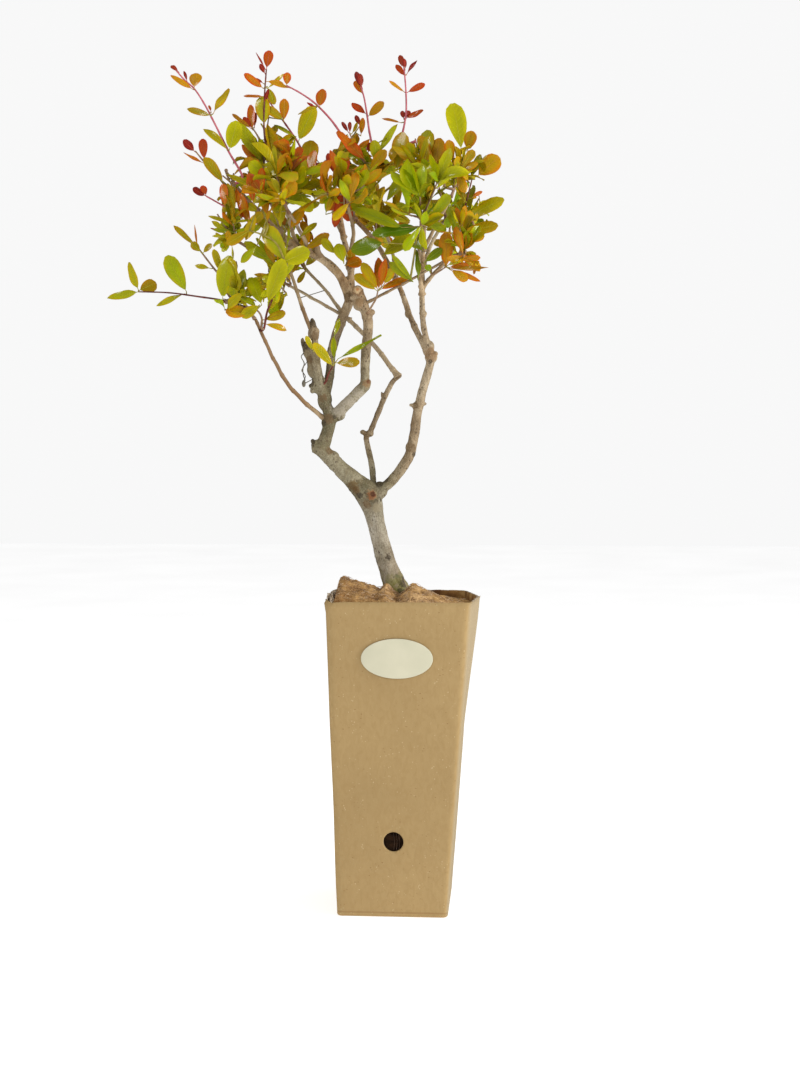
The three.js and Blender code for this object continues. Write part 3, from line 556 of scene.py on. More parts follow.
def board_material():
    """Kraft pulp board: warm grey-brown, clouded, with pale and dark flecks of fibre, painted paler on its
    right side as painted light, and darker along a crease at its foot as painted shade."""
    shader = Shader("kraft_pulp_board", 0.88, 0.15)
    tone = shader.ramp(shader.noise(11, 4), (0.3, (161, 135, 92)), (0.7, (171, 144, 99)))
    fibre = shader.noise(240, 6, shader.stretched(1, 1, 0.5), 0.8)
    tone = shader.mix(shader.range(fibre, 0.4, 0.7, 0.0, 0.4), tone, (151, 123, 80))
    rare = shader.ramp(shader.noise(120, 2), (0.55, 0.0), (0.64, 0.6))
    pale = shader.times(shader.flecks(420, 1, 1, 0.7, 0.12, 0.24), rare)
    tone = shader.mix(pale, tone, (206, 186, 146))
    some = shader.ramp(shader.noise(70, 2), (0.53, 0.0), (0.62, 0.8))
    dark = shader.times(shader.flecks(300, 0.7, 0.7, 1.3, 0.08, 0.2), some)
    tone = shader.mix(dark, tone, (122, 88, 52))
    # the side that faces right is painted paler: painted light, as from the lamp on the right
    painted_right_light = shader.range(shader.facing("X"), 0.5, 0.9, 0.0, 0.8)
    tone = shader.mix(painted_right_light, tone, (157, 142, 115))
    # a darker band low on the foot: painted shade along the crease there
    height = shader.axis("Z")
    crease = shader.times(shader.range(height, 0.0046, 0.0052, 1.0, 0.0),
                          shader.range(height, 0.0030, 0.0038))
    shader.color(shader.mix(shader.times(crease, 0.35), tone, (124, 88, 54)))
    shader.roughness(fibre, 0.82, 0.94)
    shader.bump(fibre, 0.3, 0.6)
    shader.bump(shader.noise(900, 4, None, 0.8), 0.12, 0.6)
    return shader.material


def inside_material():
    """The board's inner face, painted dark as painted shade inside the pot, and lighter towards the right as
    painted light on the right wall's inner face.
    """
    shader = Shader("stained_board_inside", 0.9, 0.1)
    # painted shade inside the pot, lifted towards the right as painted light, with patchy noise
    inside_light_and_shade = shader.math("ADD", shader.range(shader.axis("X"), 0.03, 0.085, 0.0, 0.8),
                        shader.range(shader.noise(90, 4), 0.35, 0.65, -0.2, 0.3))
    shader.color(shader.ramp(inside_light_and_shade, (0.0, (84, 54, 28)), (0.5, (122, 88, 48)), (1.0, (168, 136, 88))))
    shader.bump(shader.noise(240, 5), 0.3, 0.6)
    return shader.material


def torn_material():
    """The torn edge of the board: loose grey and brown layers."""
    shader = Shader("torn_board_edge", 0.95, 0.1)
    layers = shader.noise(700, 4, shader.stretched(1, 1, 0.3), 1.5)
    dark, middle, pale = (0.38, (78, 58, 40)), (0.5, (152, 130, 104)), (0.61, (216, 204, 184))
    shader.color(shader.ramp(layers, dark, middle, pale))
    shader.bump(layers, 0.5)
    return shader.material


def paper_material():
    """Cream label paper with a faint tooth."""
    shader = Shader("cream_paper", 0.55, 0.35)
    tooth = shader.noise(900, 4)
    shader.color(shader.ramp(shader.noise(40, 3), (0.3, (198, 194, 168)), (0.7, (206, 201, 175))))
    shader.roughness(tooth, 0.5, 0.62)
    shader.bump(tooth, 0.05)
    return shader.material


def coir_material(name, dark, mid, pale):
    """Matted coconut fibre in darker and paler tufts, paler towards the right."""
    shader = Shader(name, 0.95, 0.1)
    strands = shader.noise(330, 6, shader.stretched(1, 0.6, 0.9), 3.0)
    clumps = shader.math("ADD", shader.noise(55, 4, None, 1.0),
                         shader.range(shader.axis("X"), -0.04, 0.02, -0.09, 0.05))
    tone = shader.ramp(strands, (0.34, dark), (0.48, mid), (0.62, pale))
    shade = shader.ramp(clumps, (0.36, dark), (0.5, mid), (0.62, pale))
    shader.color(shader.mix(0.6, tone, shade))
    shader.bump(strands, 0.7, 0.8)
    return shader.material


# Marks on the old bark, in millimetres of the plant: the middle of each, its radius and its colour.
# They are painted in this order, so a scar may lie over a pale patch and have a darker heart of its own.
# The darkest marks are dark stains, and also painted shade in the hollows at the trunk's right foot and in the
# old stub's cut top.
SMOOTH_GREY = (162, 152, 134)
DARK_STAIN_AND_HOLLOW_SHADE = (62, 52, 36)
BROWN_SCAR = (104, 82, 54)
PALE_CUT = (204, 176, 134)
BARK_MARKS = [
    ((-56, -6, 494), 11, SMOOTH_GREY), ((-47, -7, 502), 11, SMOOTH_GREY),
    ((-38, -8, 510), 9, SMOOTH_GREY), ((-19, -10, 396), 6, (136, 124, 98)),
    ((-43, -9, 418), 6, (100, 78, 44)), ((-40, -9, 413), 5, (94, 70, 38)),
    ((-36, -9, 408), 3.6, DARK_STAIN_AND_HOLLOW_SHADE), ((-17, -4, 420), 5, DARK_STAIN_AND_HOLLOW_SHADE),
    ((-10, -4, 424), 4.5, DARK_STAIN_AND_HOLLOW_SHADE), ((-29, -9, 399), 5, BROWN_SCAR),
    ((-13, -6, 404), 4, DARK_STAIN_AND_HOLLOW_SHADE), ((-23, -9.5, 408), 8.4, (70, 60, 40)),
    ((-23.6, -9.5, 408.6), 6.8, (136, 120, 88)), ((-24.5, -9.5, 408), 5.2, (142, 88, 50)),
    ((-23, -9.8, 409), 3.2, (66, 30, 16)), ((-15, -10, 414), 3.2, DARK_STAIN_AND_HOLLOW_SHADE),
    ((-11, -7, 410), 2.4, DARK_STAIN_AND_HOLLOW_SHADE), ((-31, -10, 397), 2.6, DARK_STAIN_AND_HOLLOW_SHADE),
    # the dark marks at the trunk's foot on the right are painted shade in its hollow
    ((7, -9, 320), 4.5, DARK_STAIN_AND_HOLLOW_SHADE), ((2, -10, 328), 3.4, (98, 100, 64)),
    ((5, -9, 312), 5.5, DARK_STAIN_AND_HOLLOW_SHADE), ((9, -8, 326), 4, DARK_STAIN_AND_HOLLOW_SHADE), ((-8, -7, 346), 3.4, DARK_STAIN_AND_HOLLOW_SHADE),
    ((-9, -7, 340), 2.4, DARK_STAIN_AND_HOLLOW_SHADE), ((15, -8, 455), 6, BROWN_SCAR),
    ((18, -6, 449), 3.6, DARK_STAIN_AND_HOLLOW_SHADE), ((21, -6, 497), 4.6, BROWN_SCAR),
    ((35, -9, 548), 8, (128, 98, 66)), ((38, -12, 549), 2.8, (122, 72, 42)),
    ((34, -10, 541), 2.6, DARK_STAIN_AND_HOLLOW_SHADE), ((-29, -13, 519), 5, (132, 102, 66)),
    ((-27, -14, 521), 2.8, (104, 62, 36)), ((-67, -10, 484), 6, BROWN_SCAR),
    ((-61, -10, 486), 2.4, DARK_STAIN_AND_HOLLOW_SHADE), ((-72, -9, 480), 3.4, DARK_STAIN_AND_HOLLOW_SHADE),
    ((-84, -7, 461), 4.6, DARK_STAIN_AND_HOLLOW_SHADE), ((-66, -8, 452), 5, BROWN_SCAR),
    ((-31, 14, 468), 5, BROWN_SCAR), ((2, 12, 529), 4.4, BROWN_SCAR),
    ((-36, -12, 599), 5, (138, 110, 76)), ((-38, -15, 612), 7.5, (120, 88, 56)),
    ((-38, -16, 612), 4.8, PALE_CUT), ((-38, -16, 612), 1.8, (186, 116, 62)),
    # the dark mark at the old stub's top is painted shade in its hollow
    ((-84, -6, 520), 5, DARK_STAIN_AND_HOLLOW_SHADE), ((-90, -6, 556), 7, DARK_STAIN_AND_HOLLOW_SHADE),
    ((-85, -8, 543), 5, BROWN_SCAR), ((-47, 2, 606), 7, BROWN_SCAR), ((-46, 4, 640), 7, BROWN_SCAR),
    ((-72, -8, 505), 5, BROWN_SCAR), ((-82, -15, 580), 8, DARK_STAIN_AND_HOLLOW_SHADE),
    ((-80, -18, 566), 5, BROWN_SCAR), ((-24, -9, 560), 4, BROWN_SCAR),
]


def old_bark_tone(shader, patches):
    """Pale bark low on the trunk, grey-green on the left, browner on the right and behind, and painted
    lighter and warmer in the crown, as painted light on the boughs that the crown shades."""
    height = shader.axis("Z")
    pale = shader.tones(patches, (138, 130, 110), (161, 152, 133), (184, 177, 161))
    grey = shader.tones(patches, (92, 86, 58), (113, 105, 77), (142, 134, 109))
    grey = shader.mix(shader.range(height, 0.37, 0.42), pale, grey)
    brown = shader.tones(patches, (122, 100, 72), (152, 131, 102), (172, 155, 128))
    # lighter, warmer tones high up: painted light over the shade that the leaves cast on these boughs
    crown = shader.tones(patches, (142, 106, 68), (172, 142, 102), (196, 172, 138))
    brown = shader.mix(shader.range(height, 0.58, 0.63), brown, crown)
    right = shader.range(shader.axis("X"), -0.012, 0.016)
    behind = shader.range(shader.axis("Y"), 0.004, 0.012)
    above = shader.range(height, 0.515, 0.575)
    share = shader.math("MAXIMUM", shader.math("ADD", right, behind), above)
    return shader.mix(share, grey, brown)


def bark_grain(shader, tone, fine):
    """Fine fibres, grains, dark pores and cracks over the bark's tone."""
    tone = shader.mix(shader.range(fine, 0.45, 0.7, 0.0, 0.4), tone, (112, 92, 66))
    grain = shader.noise(1100, 4)
    tone = shader.mix(shader.range(grain, 0.5, 0.7, 0.0, 0.4), tone, (92, 76, 52))
    tone = shader.mix(shader.range(grain, 0.5, 0.3, 0.0, 0.25), tone, (200, 190, 166))
    few = shader.ramp(shader.noise(90, 3), (0.44, 0.0), (0.54, 1.0))
    pores = shader.times(shader.flecks(340, 1, 1, 0.7, 0.14, 0.34), few)
    tone = shader.mix(shader.times(pores, 0.85), tone, (66, 50, 36))
    cracks = shader.ramp(shader.noise(150, 6, shader.stretched(1, 1, 0.4), 1.2),
                         (0.46, 0.0), (0.5, 1.0), (0.54, 0.0))
    return shader.mix(shader.times(cracks, 0.45), tone, (84, 70, 50))


def old_bark_material():
    """Smooth old bark with moss round its foot and the marks listed above."""
    shader = Shader("bark_old", 0.72, 0.25)
    patches = shader.noise(34, 4, None, 0.8)
    fine = shader.noise(420, 5, shader.stretched(1, 1, 0.3), 0.5)
    tone = bark_grain(shader, old_bark_tone(shader, patches), fine)
    low = shader.range(shader.axis("Z"), 0.316, 0.338, 1.0, 0.0)
    moss = shader.times(low, shader.ramp(shader.noise(110, 4), (0.42, 0.0), (0.58, 0.85)))
    tone = shader.mix(moss, tone, (124, 122, 56))
    ragged = shader.range(shader.noise(480, 6), 0.32, 0.68, 0.8, 1.35)
    grit = shader.range(shader.noise(700, 5), 0.35, 0.65, 0.55, 0.95)
    for centre, radius, rgb in BARK_MARKS:
        tone = shader.mix(shader.times(shader.near(centre, radius, ragged), grit), tone, rgb)
    shader.color(tone)
    shader.roughness(patches, 0.66, 0.84)
    shader.bump(fine, 0.3, 0.6)
    shader.bump(shader.noise(900, 4), 0.15, 0.6)
    return shader.material


def young_bark_material():
    """The bark of thin limbs: brown in long patches, painted paler behind as painted light on stems that
    the crown shades, browner low on the left, with dark pores."""
    shader = Shader("bark_young", 0.62, 0.3)
    patches = shader.noise(46, 4, None, 0.8)
    tone = shader.ramp(patches, (0.36, (130, 106, 74)), (0.64, (176, 152, 118)))
    # painted paler behind: painted light, to lift the crown's shade from these stems
    behind = shader.range(shader.axis("Y"), 0.004, 0.02, 0.0, 0.7)
    tone = shader.mix(behind, tone, (192, 176, 146))
    low_left = shader.times(shader.range(shader.axis("X"), -0.09, -0.078, 1.0, 0.0),
                            shader.range(shader.axis("Z"), 0.585, 0.6, 1.0, 0.0))
    tone = shader.mix(shader.times(low_left, 0.8), tone, (128, 94, 58))
    pores = shader.flecks(420, 1, 1, 0.6, 0.1, 0.24)
    shader.color(shader.mix(shader.times(pores, 0.7), tone, (72, 48, 36)))
    shader.roughness(patches, 0.5, 0.75)
    shader.bump(shader.noise(700, 4, shader.stretched(1, 1, 0.4)), 0.2, 0.6)
    return shader.material


def stem_material(name, base, pale):
    """The smooth skin of a twig of this year."""
    shader = Shader(name, 0.5, 0.4)
    streaks = shader.noise(160, 3)
    shader.color(shader.ramp(streaks, (0.35, base), (0.65, pale)))
    shader.bump(shader.noise(700, 3), 0.1, 0.5)
    return shader.material


def tinted(rgb, turn, value):
    """A colour with its hue turned by a share of the circle and its value scaled."""
    hue, saturation, bright = colorsys.rgb_to_hsv(*(c / 255 for c in rgb))
    shares = colorsys.hsv_to_rgb((hue + turn) % 1, saturation, min(bright * value, 1))
    return tuple(255 * share for share in shares)


def leaf_material(letter):
    """A glossy leaf: one tint in its middle and another along its edge and tip, more so on some leaves
    than on others, with side veins."""
    _, middle, edge = TINTS[letter]
    shader = Shader("leaf_tint_" + letter, 0.34, 0.12)
    shader.feed(shader.surface, {"Coat Weight": 0.4, "Coat Roughness": 0.12})
    along, across, own = shader.leaf_place()
    mottle = shader.noise(70, 3)
    deep, light = tinted(middle, -0.014, 0.86), tinted(middle, 0.01, 1.04)
    tone = shader.ramp(own, (0.0, deep), (0.5, middle), (1.0, light))
    tone = shader.mix(shader.range(mottle, 0.45, 0.7, 0.0, 0.5), tone, tinted(middle, 0.012, 0.8))
    rim = shader.range(across, 0.4, 1.0)
    tip = shader.range(along, 0.66, 1.0, 0.0, 0.7)
    broken = shader.range(mottle, 0.38, 0.6, 1.0, 0.35)
    warm = shader.times(shader.math("MAXIMUM", rim, tip), broken)
    warm = shader.math("ADD", warm, shader.range(own, 0.6, 1.0, 0.35, -0.25))
    tone = shader.mix(warm, tone, edge)
    veins = shader.veins(along, across)
    shader.color(shader.mix(shader.times(veins, 0.2), tone, tinted(middle, 0.0, 1.2)))
    shader.roughness(mottle, 0.26, 0.42)
    shader.bump(veins, 0.16, 0.8)
    shader.bump(shader.noise(150, 2), 0.3, 0.4)
    return shader.material


def rib_material(slot, rgb):
    """The pale midrib and stalk of a leaf."""
    shader = Shader("rib_of_" + slot, 0.45, 0.4)
    shader.color(shader.ramp(shader.noise(200, 2), (0.3, tuple(0.9 * c for c in rgb)), (0.7, rgb)))
    return shader.material


# ---------------------------------------------------------------- pot


def section(count):
    """A rounded square of width 1 with a count of points along each side, and the direction out at
    each point."""
    corner = POT_CORNER / POT_BASE_WIDTH
    flat = np.linspace(-0.5 + corner, 0.5 - corner, count)
    arc = np.linspace(0, math.pi / 2, 7)[1:-1]
    xs = np.concatenate([flat, 0.5 - corner + corner * np.sin(arc)])
    ys = np.concatenate([np.full(count, -0.5), -0.5 + corner - corner * np.cos(arc)])
    out_x = np.concatenate([np.zeros(count), np.sin(arc)])
    out_y = np.concatenate([np.full(count, -1.0), -np.cos(arc)])
    points, ways = [], []
    for quarter in range(4):
        c, s = math.cos(quarter * math.pi / 2), math.sin(quarter * math.pi / 2)
        points.append(np.column_stack([xs * c - ys * s, xs * s + ys * c]))
        ways.append(np.column_stack([out_x * c - out_y * s, out_x * s + out_y * c]))
    return np.vstack(points), np.vstack(ways)


# How far the side walls stand out near the rim, from the front corner to the back one.
BOW_AT = (-68, -20, 2, 9, 40, 70)
RIGHT_BOW = (0, 4.0, 6.2, 5.0, -2.5, -9.5)
LEFT_BOW = (0, 1.5, 3.0, 4.0, 7.0, 6.5)

# The rings of the board, and what is torn of its rim.
BOARD_HEIGHTS = np.concatenate([[0, 1.2, 4, 9], np.linspace(16, POT_HEIGHT, 54)])
FLOOR_RING = 2  # the ring that the pot's floor inside is level with
CRUMPLED_X = -62
NOTCH_Y = 7
UNTORN_Y = -60  # of the front edge, which is clean
RIM_LEFT = POT_RIM_SHIFT - POT_RIM_WIDTH / 2


def wall_shift(x, y, z):
    """How far the board has left its true plane, to the side and back: the right wall bows out to a
    crease near the rim, where the corner behind it is drawn in, and the others bow a little."""
    bend = smooth_step(150, POT_HEIGHT, z)
    bow = np.interp(y, BOW_AT, RIGHT_BOW) * smooth_step(44, 64, x) * bend
    bow = bow - np.interp(y, BOW_AT, LEFT_BOW) * smooth_step(-38, -56, x) * bend
    back = 3.0 * np.exp(-((x - 6) / 40) ** 2) * smooth_step(40, 60, y) * bend
    return bow, back


def pot_surface(inset, heights, count=34):
    """Rings of the board's outer or inner face, and the direction out at each point."""
    square, ways = section(count)
    rings = []
    for z in heights:
        share = z / POT_HEIGHT
        width = POT_BASE_WIDTH + (POT_RIM_WIDTH - POT_BASE_WIDTH) * share - 2 * inset
        x = POT_RIM_SHIFT * share + width * square[:, 0]
        y = width * square[:, 1]
        shift_x, shift_y = wall_shift(x, y, z)
        rings.append(np.column_stack([x + shift_x, y + shift_y, np.full(len(x), float(z))]))
    return np.array(rings), ways


def board_faces():
    """The board's outer face and its inner one, as rings from the foot up and from the rim down."""
    outer, ways = pot_surface(0, BOARD_HEIGHTS)
    inner, _ = pot_surface(POT_BOARD, BOARD_HEIGHTS[:FLOOR_RING - 1:-1])
    points = outer.reshape(-1, 3)
    dents = waves(points * [1, 1, 0.6], 46).reshape(outer.shape[:2])
    grain = waves(points, 7).reshape(outer.shape[:2])
    fade = smooth_step(0, 30, BOARD_HEIGHTS)[:, None]
    swell = (0.45 * dents + 0.07 * grain) * fade - 0.9 * (BOARD_HEIGHTS < 1)[:, None]
    outer[..., :2] += swell[..., None] * ways
    fray_rim(outer, inner)
    return outer, inner


def fray_rim(outer, inner):
    """The rim's top edge: ragged all round, crumpled at the left and notched at the right."""
    top = outer[-1].copy()
    x, y = top[:, 0], top[:, 1]
    ragged = waves(top * [1, 1, 0], 9) + 0.6 * waves(top * [1, 1, 0], 3)
    crumple = np.exp(-((x - CRUMPLED_X) / 7) ** 2) * smooth_step(-20, 30, -y + 10)
    notch = -2.2 * np.exp(-((y - NOTCH_Y) / 2.5) ** 2) * (x > 60)
    lift = 0.3 * ragged + crumple * 1.6 * np.sin(y * 1.9) + notch
    for ring, weight in ((outer[-1], 1), (outer[-2], 0.5), (inner[0], 1), (inner[1], 0.5)):
        ring[:, 2] += weight * lift
        ring[:, 0] += weight * crumple * 1.3 * np.cos(y * 2.7)


def board_tints(faces, around, rim_row, rim_y):
    """0 for each face outside, 1 along the torn rim and 2 for each face inside."""
    rows, columns = faces[:, 0] // around, faces[:, 0] % around
    torn = ((rows == rim_row - 1) | (rows == rim_row)) & (rim_y[columns] > UNTORN_Y)
    return np.where(torn, 1, np.where(rows > rim_row, 2, 0)).tolist()


def drill_drain(pot, board):
    """Cut the drain hole through the front wall."""
    depth = POT_BASE_WIDTH / 2
    x = POT_RIM_SHIFT * DRAIN_HEIGHT / POT_HEIGHT
    drill = Heap()
    ends = [(x, -depth - 20, DRAIN_HEIGHT), (x, -depth / 2, DRAIN_HEIGHT)]
    add_tube(drill, ends, [DRAIN_RADIUS] * 2, 48)
    cutter = drill.piece("drill", [board])
    cut = pot.modifiers.new("drain", "BOOLEAN")
    cut.object = cutter
    cut.operation = "DIFFERENCE"
    cut.solver = "EXACT"
    apply_modifiers(pot)
    bpy.data.objects.remove(cutter)


def make_pot(board, torn, inside):
    """The board pot: outer wall, rim, inner wall and floor as one closed skin."""
    outer, inner = board_faces()
    rim = 0.5 * (outer[-1] + inner[0]) + [0, 0, 0.35]
    rings = np.concatenate([outer, rim[None], inner])
    total, around = rings.shape[:2]
    faces = grid_faces(total, around, closed=True)
    base, top = total * around, total * around + 1
    middles = [(0, 0, 0), (0, 0, BOARD_HEIGHTS[FLOOR_RING])]
    heap = Heap()
    heap.add(np.vstack([rings.reshape(-1, 3), middles]), faces,
             fan_faces(base, 0, around, flip=True), fan_faces(top, base - around, around))
    heap.tints[:len(faces)] = board_tints(faces, around, len(outer), outer[-1][:, 1])
    pot = heap.piece("pulp_board_pot", [board, torn, inside])
    drill_drain(pot, board)
    dressed(pot, "pulp_board", "pot")


def make_root_ball(fibre):
    """The root ball, which shows in the drain hole and fills the pot out to its bowed walls. Its nearly black
    coir is painted shade for the drain hole.
    """
    heights = [3.6, 30, 74, 120, 160, 200, 240, 270, ROOT_BALL_TOP]
    rings, _ = pot_surface(POT_BOARD + 0.3, heights)
    around = range(rings.shape[1])
    heap = Heap()
    heap.add(rings.reshape(-1, 3), grid_faces(len(rings), len(around), closed=True))
    heap.add(rings[0], [around[::-1]])
    heap.add(rings[-1], [around])
    dressed(heap.piece("moist_root_ball", [fibre]), "root_ball", "root_ball")


def make_label(paper):
    """An oval paper label, a little proud of the front wall, that leans with it and stays bare."""
    share = LABEL_CENTRE / POT_HEIGHT
    lean = math.atan2((POT_RIM_WIDTH - POT_BASE_WIDTH) / 2, POT_HEIGHT)
    front = -(POT_BASE_WIDTH + (POT_RIM_WIDTH - POT_BASE_WIDTH) * share) / 2
    angles = np.linspace(0, 2 * math.pi, 96, endpoint=False)
    points = []
    for reach, proud in ((0.02, 1), (0.5, 1), (0.98, 1), (1.0, 0.8), (1.004, 0.4), (1.0, 0.0)):
        x = LABEL_WIDTH / 2 * reach * np.cos(angles)
        z = LABEL_HEIGHT / 2 * reach * np.sin(angles)
        y = front - 0.9 - LABEL_THICKNESS * proud - z * math.tan(lean)
        points.append(np.column_stack([POT_RIM_SHIFT * share + x, y, LABEL_CENTRE + z]))
    heap = Heap()
    heap.add(np.vstack(points), grid_faces(len(points), len(angles), closed=True))
    heap.add(points[0], [range(len(angles))[::-1]])
    dressed(heap.piece("paper_label", [paper]), "label_paper", "label")


def hang_layers(heap, dice):
    """Crumpled layers of board that hang loose inside the rim's left wall."""
    for _ in range(40):
        y = dice.uniform(-62, 62)
        inner = RIM_LEFT + POT_BOARD - np.interp(y, BOW_AT, LEFT_BOW)
        middle = np.array([inner + dice.uniform(-0.5, 4), y, dice.uniform(300, 306.5)])
        wide, high = dice.uniform(4, 10), dice.uniform(4, 9)
        way = unit(np.array([dice.uniform(-0.5, 0.5), 1.0, dice.uniform(-0.2, 0.2)]))
        rise = unit(np.array([dice.uniform(-0.3, 0.5), dice.uniform(-0.2, 0.2), 1.0]))
        add_flake(heap, middle, way * wide, rise * high, 0.9, dice.uniform(0, 50))


def stand_scraps(heap, dice):
    """Upright scraps at the torn corner in front on the left."""
    for _ in range(14):
        y = dice.uniform(-66, -50)
        middle = np.array([RIM_LEFT + dice.uniform(0.5, 7), y, dice.uniform(304, 312)])
        way = unit(np.array([dice.uniform(-0.4, 0.4), 1.0, dice.uniform(-0.2, 0.2)]))
        rise = unit(np.array([dice.uniform(-0.2, 0.1), dice.uniform(-0.2, 0.2), 1.0]))
        wide, high = dice.uniform(4, 8), dice.uniform(6, 12)
        add_flake(heap, middle, way * wide, rise * high, 0.8, dice.uniform(0, 50))


def hang_drain_fibres(heap):
    """The fibres of the root ball that cross the drain hole."""
    front = -0.5 * POT_BASE_WIDTH - 2.2
    for x, low, high in ((2, 66, 82), (4.5, 64.5, 84), (7, 66, 81)):
        bent = (x + 0.6, front - 0.2, (low + high) / 2)
        points = spline([(x, front, low), bent, (x - 0.4, front, high)], 6)
        add_tube(heap, points, np.full(len(points), 0.35), 5, 1)


def make_torn_board(torn, fibre):
    """What is torn of the board on the left and at the notch on the right, and the drain's fibres."""
    dice = random.Random(3)
    heap = Heap()
    hang_layers(heap, dice)
    stand_scraps(heap, dice)
    hang_drain_fibres(heap)
    middle, across, rise = np.array([(82.0, 8.0, 304.5), (2.0, 6.0, 1.0), (1.5, 0, 4.0)])
    add_flake(heap, middle, across, rise, 0.7, 9)
    dressed(heap.piece("torn_layers", [torn, fibre]), "pulp_board", "pot")


def add_flake(heap, middle, across, rise, thick, seed):
    """A crumpled scrap of board with two faces and an edge."""
    rows, columns = 6, 7
    count = rows * columns
    u, v = np.meshgrid(np.linspace(-0.5, 0.5, rows), np.linspace(-0.5, 0.5, columns), indexing="ij")
    out = unit(np.cross(across, rise))
    sheet = middle + u.ravel()[:, None] * rise + v.ravel()[:, None] * across
    crease = 1.5 * waves(sheet + seed, 3.5) + 0.6 * waves(sheet + seed, 1.4)
    sheet = sheet + crease[:, None] * out
    sheet += 0.12 * np.linalg.norm(rise) * waves(sheet + seed + 70, 2.5)[:, None] * unit(rise)
    front = grid_faces(rows, columns)
    edge = [*range(columns), *range(2 * columns - 1, count, columns),
            *range(count - 2, count - columns - 1, -1), *range(count - 2 * columns, 0, -columns)]
    walls = [(b, a, a + count, b + count) for a, b in zip(edge, edge[1:] + edge[:1])]
    heap.add(np.vstack([sheet, sheet + thick * out]), front, front[:, ::-1] + count, walls)


# ---------------------------------------------------------------- coir

# The ridge of coir behind the front wall: how high above the fill it stands from left to right, and
# the share of it that is left from the front to the back.
COIR_RIDGE_AT = (-70, -60, -57, -53, -49, -44, -30, -20, -14, -7, -1, 5, 11, 18, 25, 33, 46, 54, 70)
COIR_RIDGE = (0, 0, 8, 28, 31, 28, 24, 21, 19, 24, 17, 12, 16, 24, 21, 17, 10, 4, 2)
COIR_DEPTH_AT = (-70, -58, -40, -26, -12, 4, 24, 50, 70)
COIR_DEPTH = (0.4, 0.62, 0.92, 1.0, 0.74, 0.5, 0.42, 0.34, 0.2)
COIR_MIDDLE = POT_RIM_SHIFT * FILL_TOP / POT_HEIGHT
COIR_HALF = POT_RIM_WIDTH / 2 - POT_BOARD - 1.2
STRAND_TRIES = 3400
STRAND_POINTS = 7


def coir_height(x, y):
    """The height of the coir's surface over a point of the pot's floor."""
    ridge = np.interp(x, COIR_RIDGE_AT, COIR_RIDGE)
    return FILL_TOP + 1 + ridge * np.interp(y, COIR_DEPTH_AT, COIR_DEPTH)


def make_coir_bed(material):
    """The matted bed of coir, with its edge along the bowed walls."""
    count = 120
    side = np.linspace(-COIR_HALF, COIR_HALF, count)
    x, y = (axis.ravel() for axis in np.meshgrid(COIR_MIDDLE + side, side, indexing="ij"))
    flat = np.column_stack([x, y, np.zeros(x.size)])
    rough = 2.2 * waves(flat, 10) + 1.5 * waves(flat, 4.5) + 0.7 * waves(flat, 1.9)
    aside = np.abs(x - COIR_MIDDLE)
    z = np.maximum(coir_height(x, y) + rough + 1.2, FILL_TOP + 0.5)
    z[np.maximum(aside, np.abs(y)) / COIR_HALF > 0.999] = FILL_TOP + 0.4
    reach = np.clip((aside / COIR_HALF - 0.6) / 0.4, 0, 1)
    wall_x = COIR_MIDDLE + np.sign(x - COIR_MIDDLE) * COIR_HALF
    bow, _ = wall_shift(wall_x, y, np.full(x.size, float(FILL_TOP)))
    heap = Heap()
    heap.add(np.column_stack([x + bow * reach, y, z]), grid_faces(count, count))
    dressed(heap.piece("coir_bed", [material]), "coir", "coir_top")


def coir_strand(dice, place):
    """The points of one loose strand, which curls along over the bed and stays inside the pot."""
    length, heading = dice.uniform(5, 15), dice.uniform(0, 2 * math.pi)
    climb, curl = dice.uniform(-0.2, 0.3), dice.uniform(-0.9, 0.9)
    limit = COIR_HALF - 1
    points = []
    for _ in range(STRAND_POINTS):
        points.append(place)
        way = np.array([math.cos(heading), math.sin(heading), climb])
        place = place + way * length / (STRAND_POINTS - 1)
        heading += curl + dice.uniform(-0.3, 0.3)
        climb -= dice.uniform(0.0, 0.22)
        place[0] = COIR_MIDDLE + np.clip(place[0] - COIR_MIDDLE, -limit, limit - 4)
        place[1] = np.clip(place[1], -limit, limit)
        ground = float(coir_height(place[0], place[1]))
        place[2] = np.clip(place[2], ground + 0.4, ground + 3)
    return points


def make_coir_strands(materials):
    """Loose strands all over the bed, and most of them on its ridge."""
    dice = random.Random(7)
    heap = Heap()
    for _ in range(STRAND_TRIES):
        x = COIR_MIDDLE + COIR_HALF * dice.uniform(-0.97, 0.93)
        y = COIR_HALF * dice.uniform(-0.99, 0.97)
        height = float(coir_height(x, y)) - FILL_TOP
        if dice.random() > 0.3 + height / 11:
            continue
        points = coir_strand(dice, np.array([x, y, FILL_TOP + height + 1.0]))
        radii = dice.uniform(0.14, 0.32) * np.linspace(1, 0.4, STRAND_POINTS)
        add_tube(heap, points, radii, 3, dice.randrange(len(materials)))
    dressed(heap.piece("coir_strands", materials), "coir", "coir_top")


# ---------------------------------------------------------------- limbs


def trunk_flare(t):
    """How much wider the trunk is low on its foot."""
    return (TRUNK_FOOT - TRUNK_WAIST) * np.exp(-9 * t)


class Limb:
    """A limb: what carries it, its radii and its line, and whether its bark is old."""

    def __init__(self, name, on, foot, tip, path):
        self.name, self.on, self.foot, self.tip = name, on, foot, tip
        self.line = Line(spline(path))
        self.is_old = foot > OLD_RADIUS

    def radius(self, share):
        flare = trunk_flare(share) if self.on is None else 0
        return self.foot + (self.tip - self.foot) * share + flare


limbs = {name: Limb(name, *facts) for name, facts in LIMBS.items()}

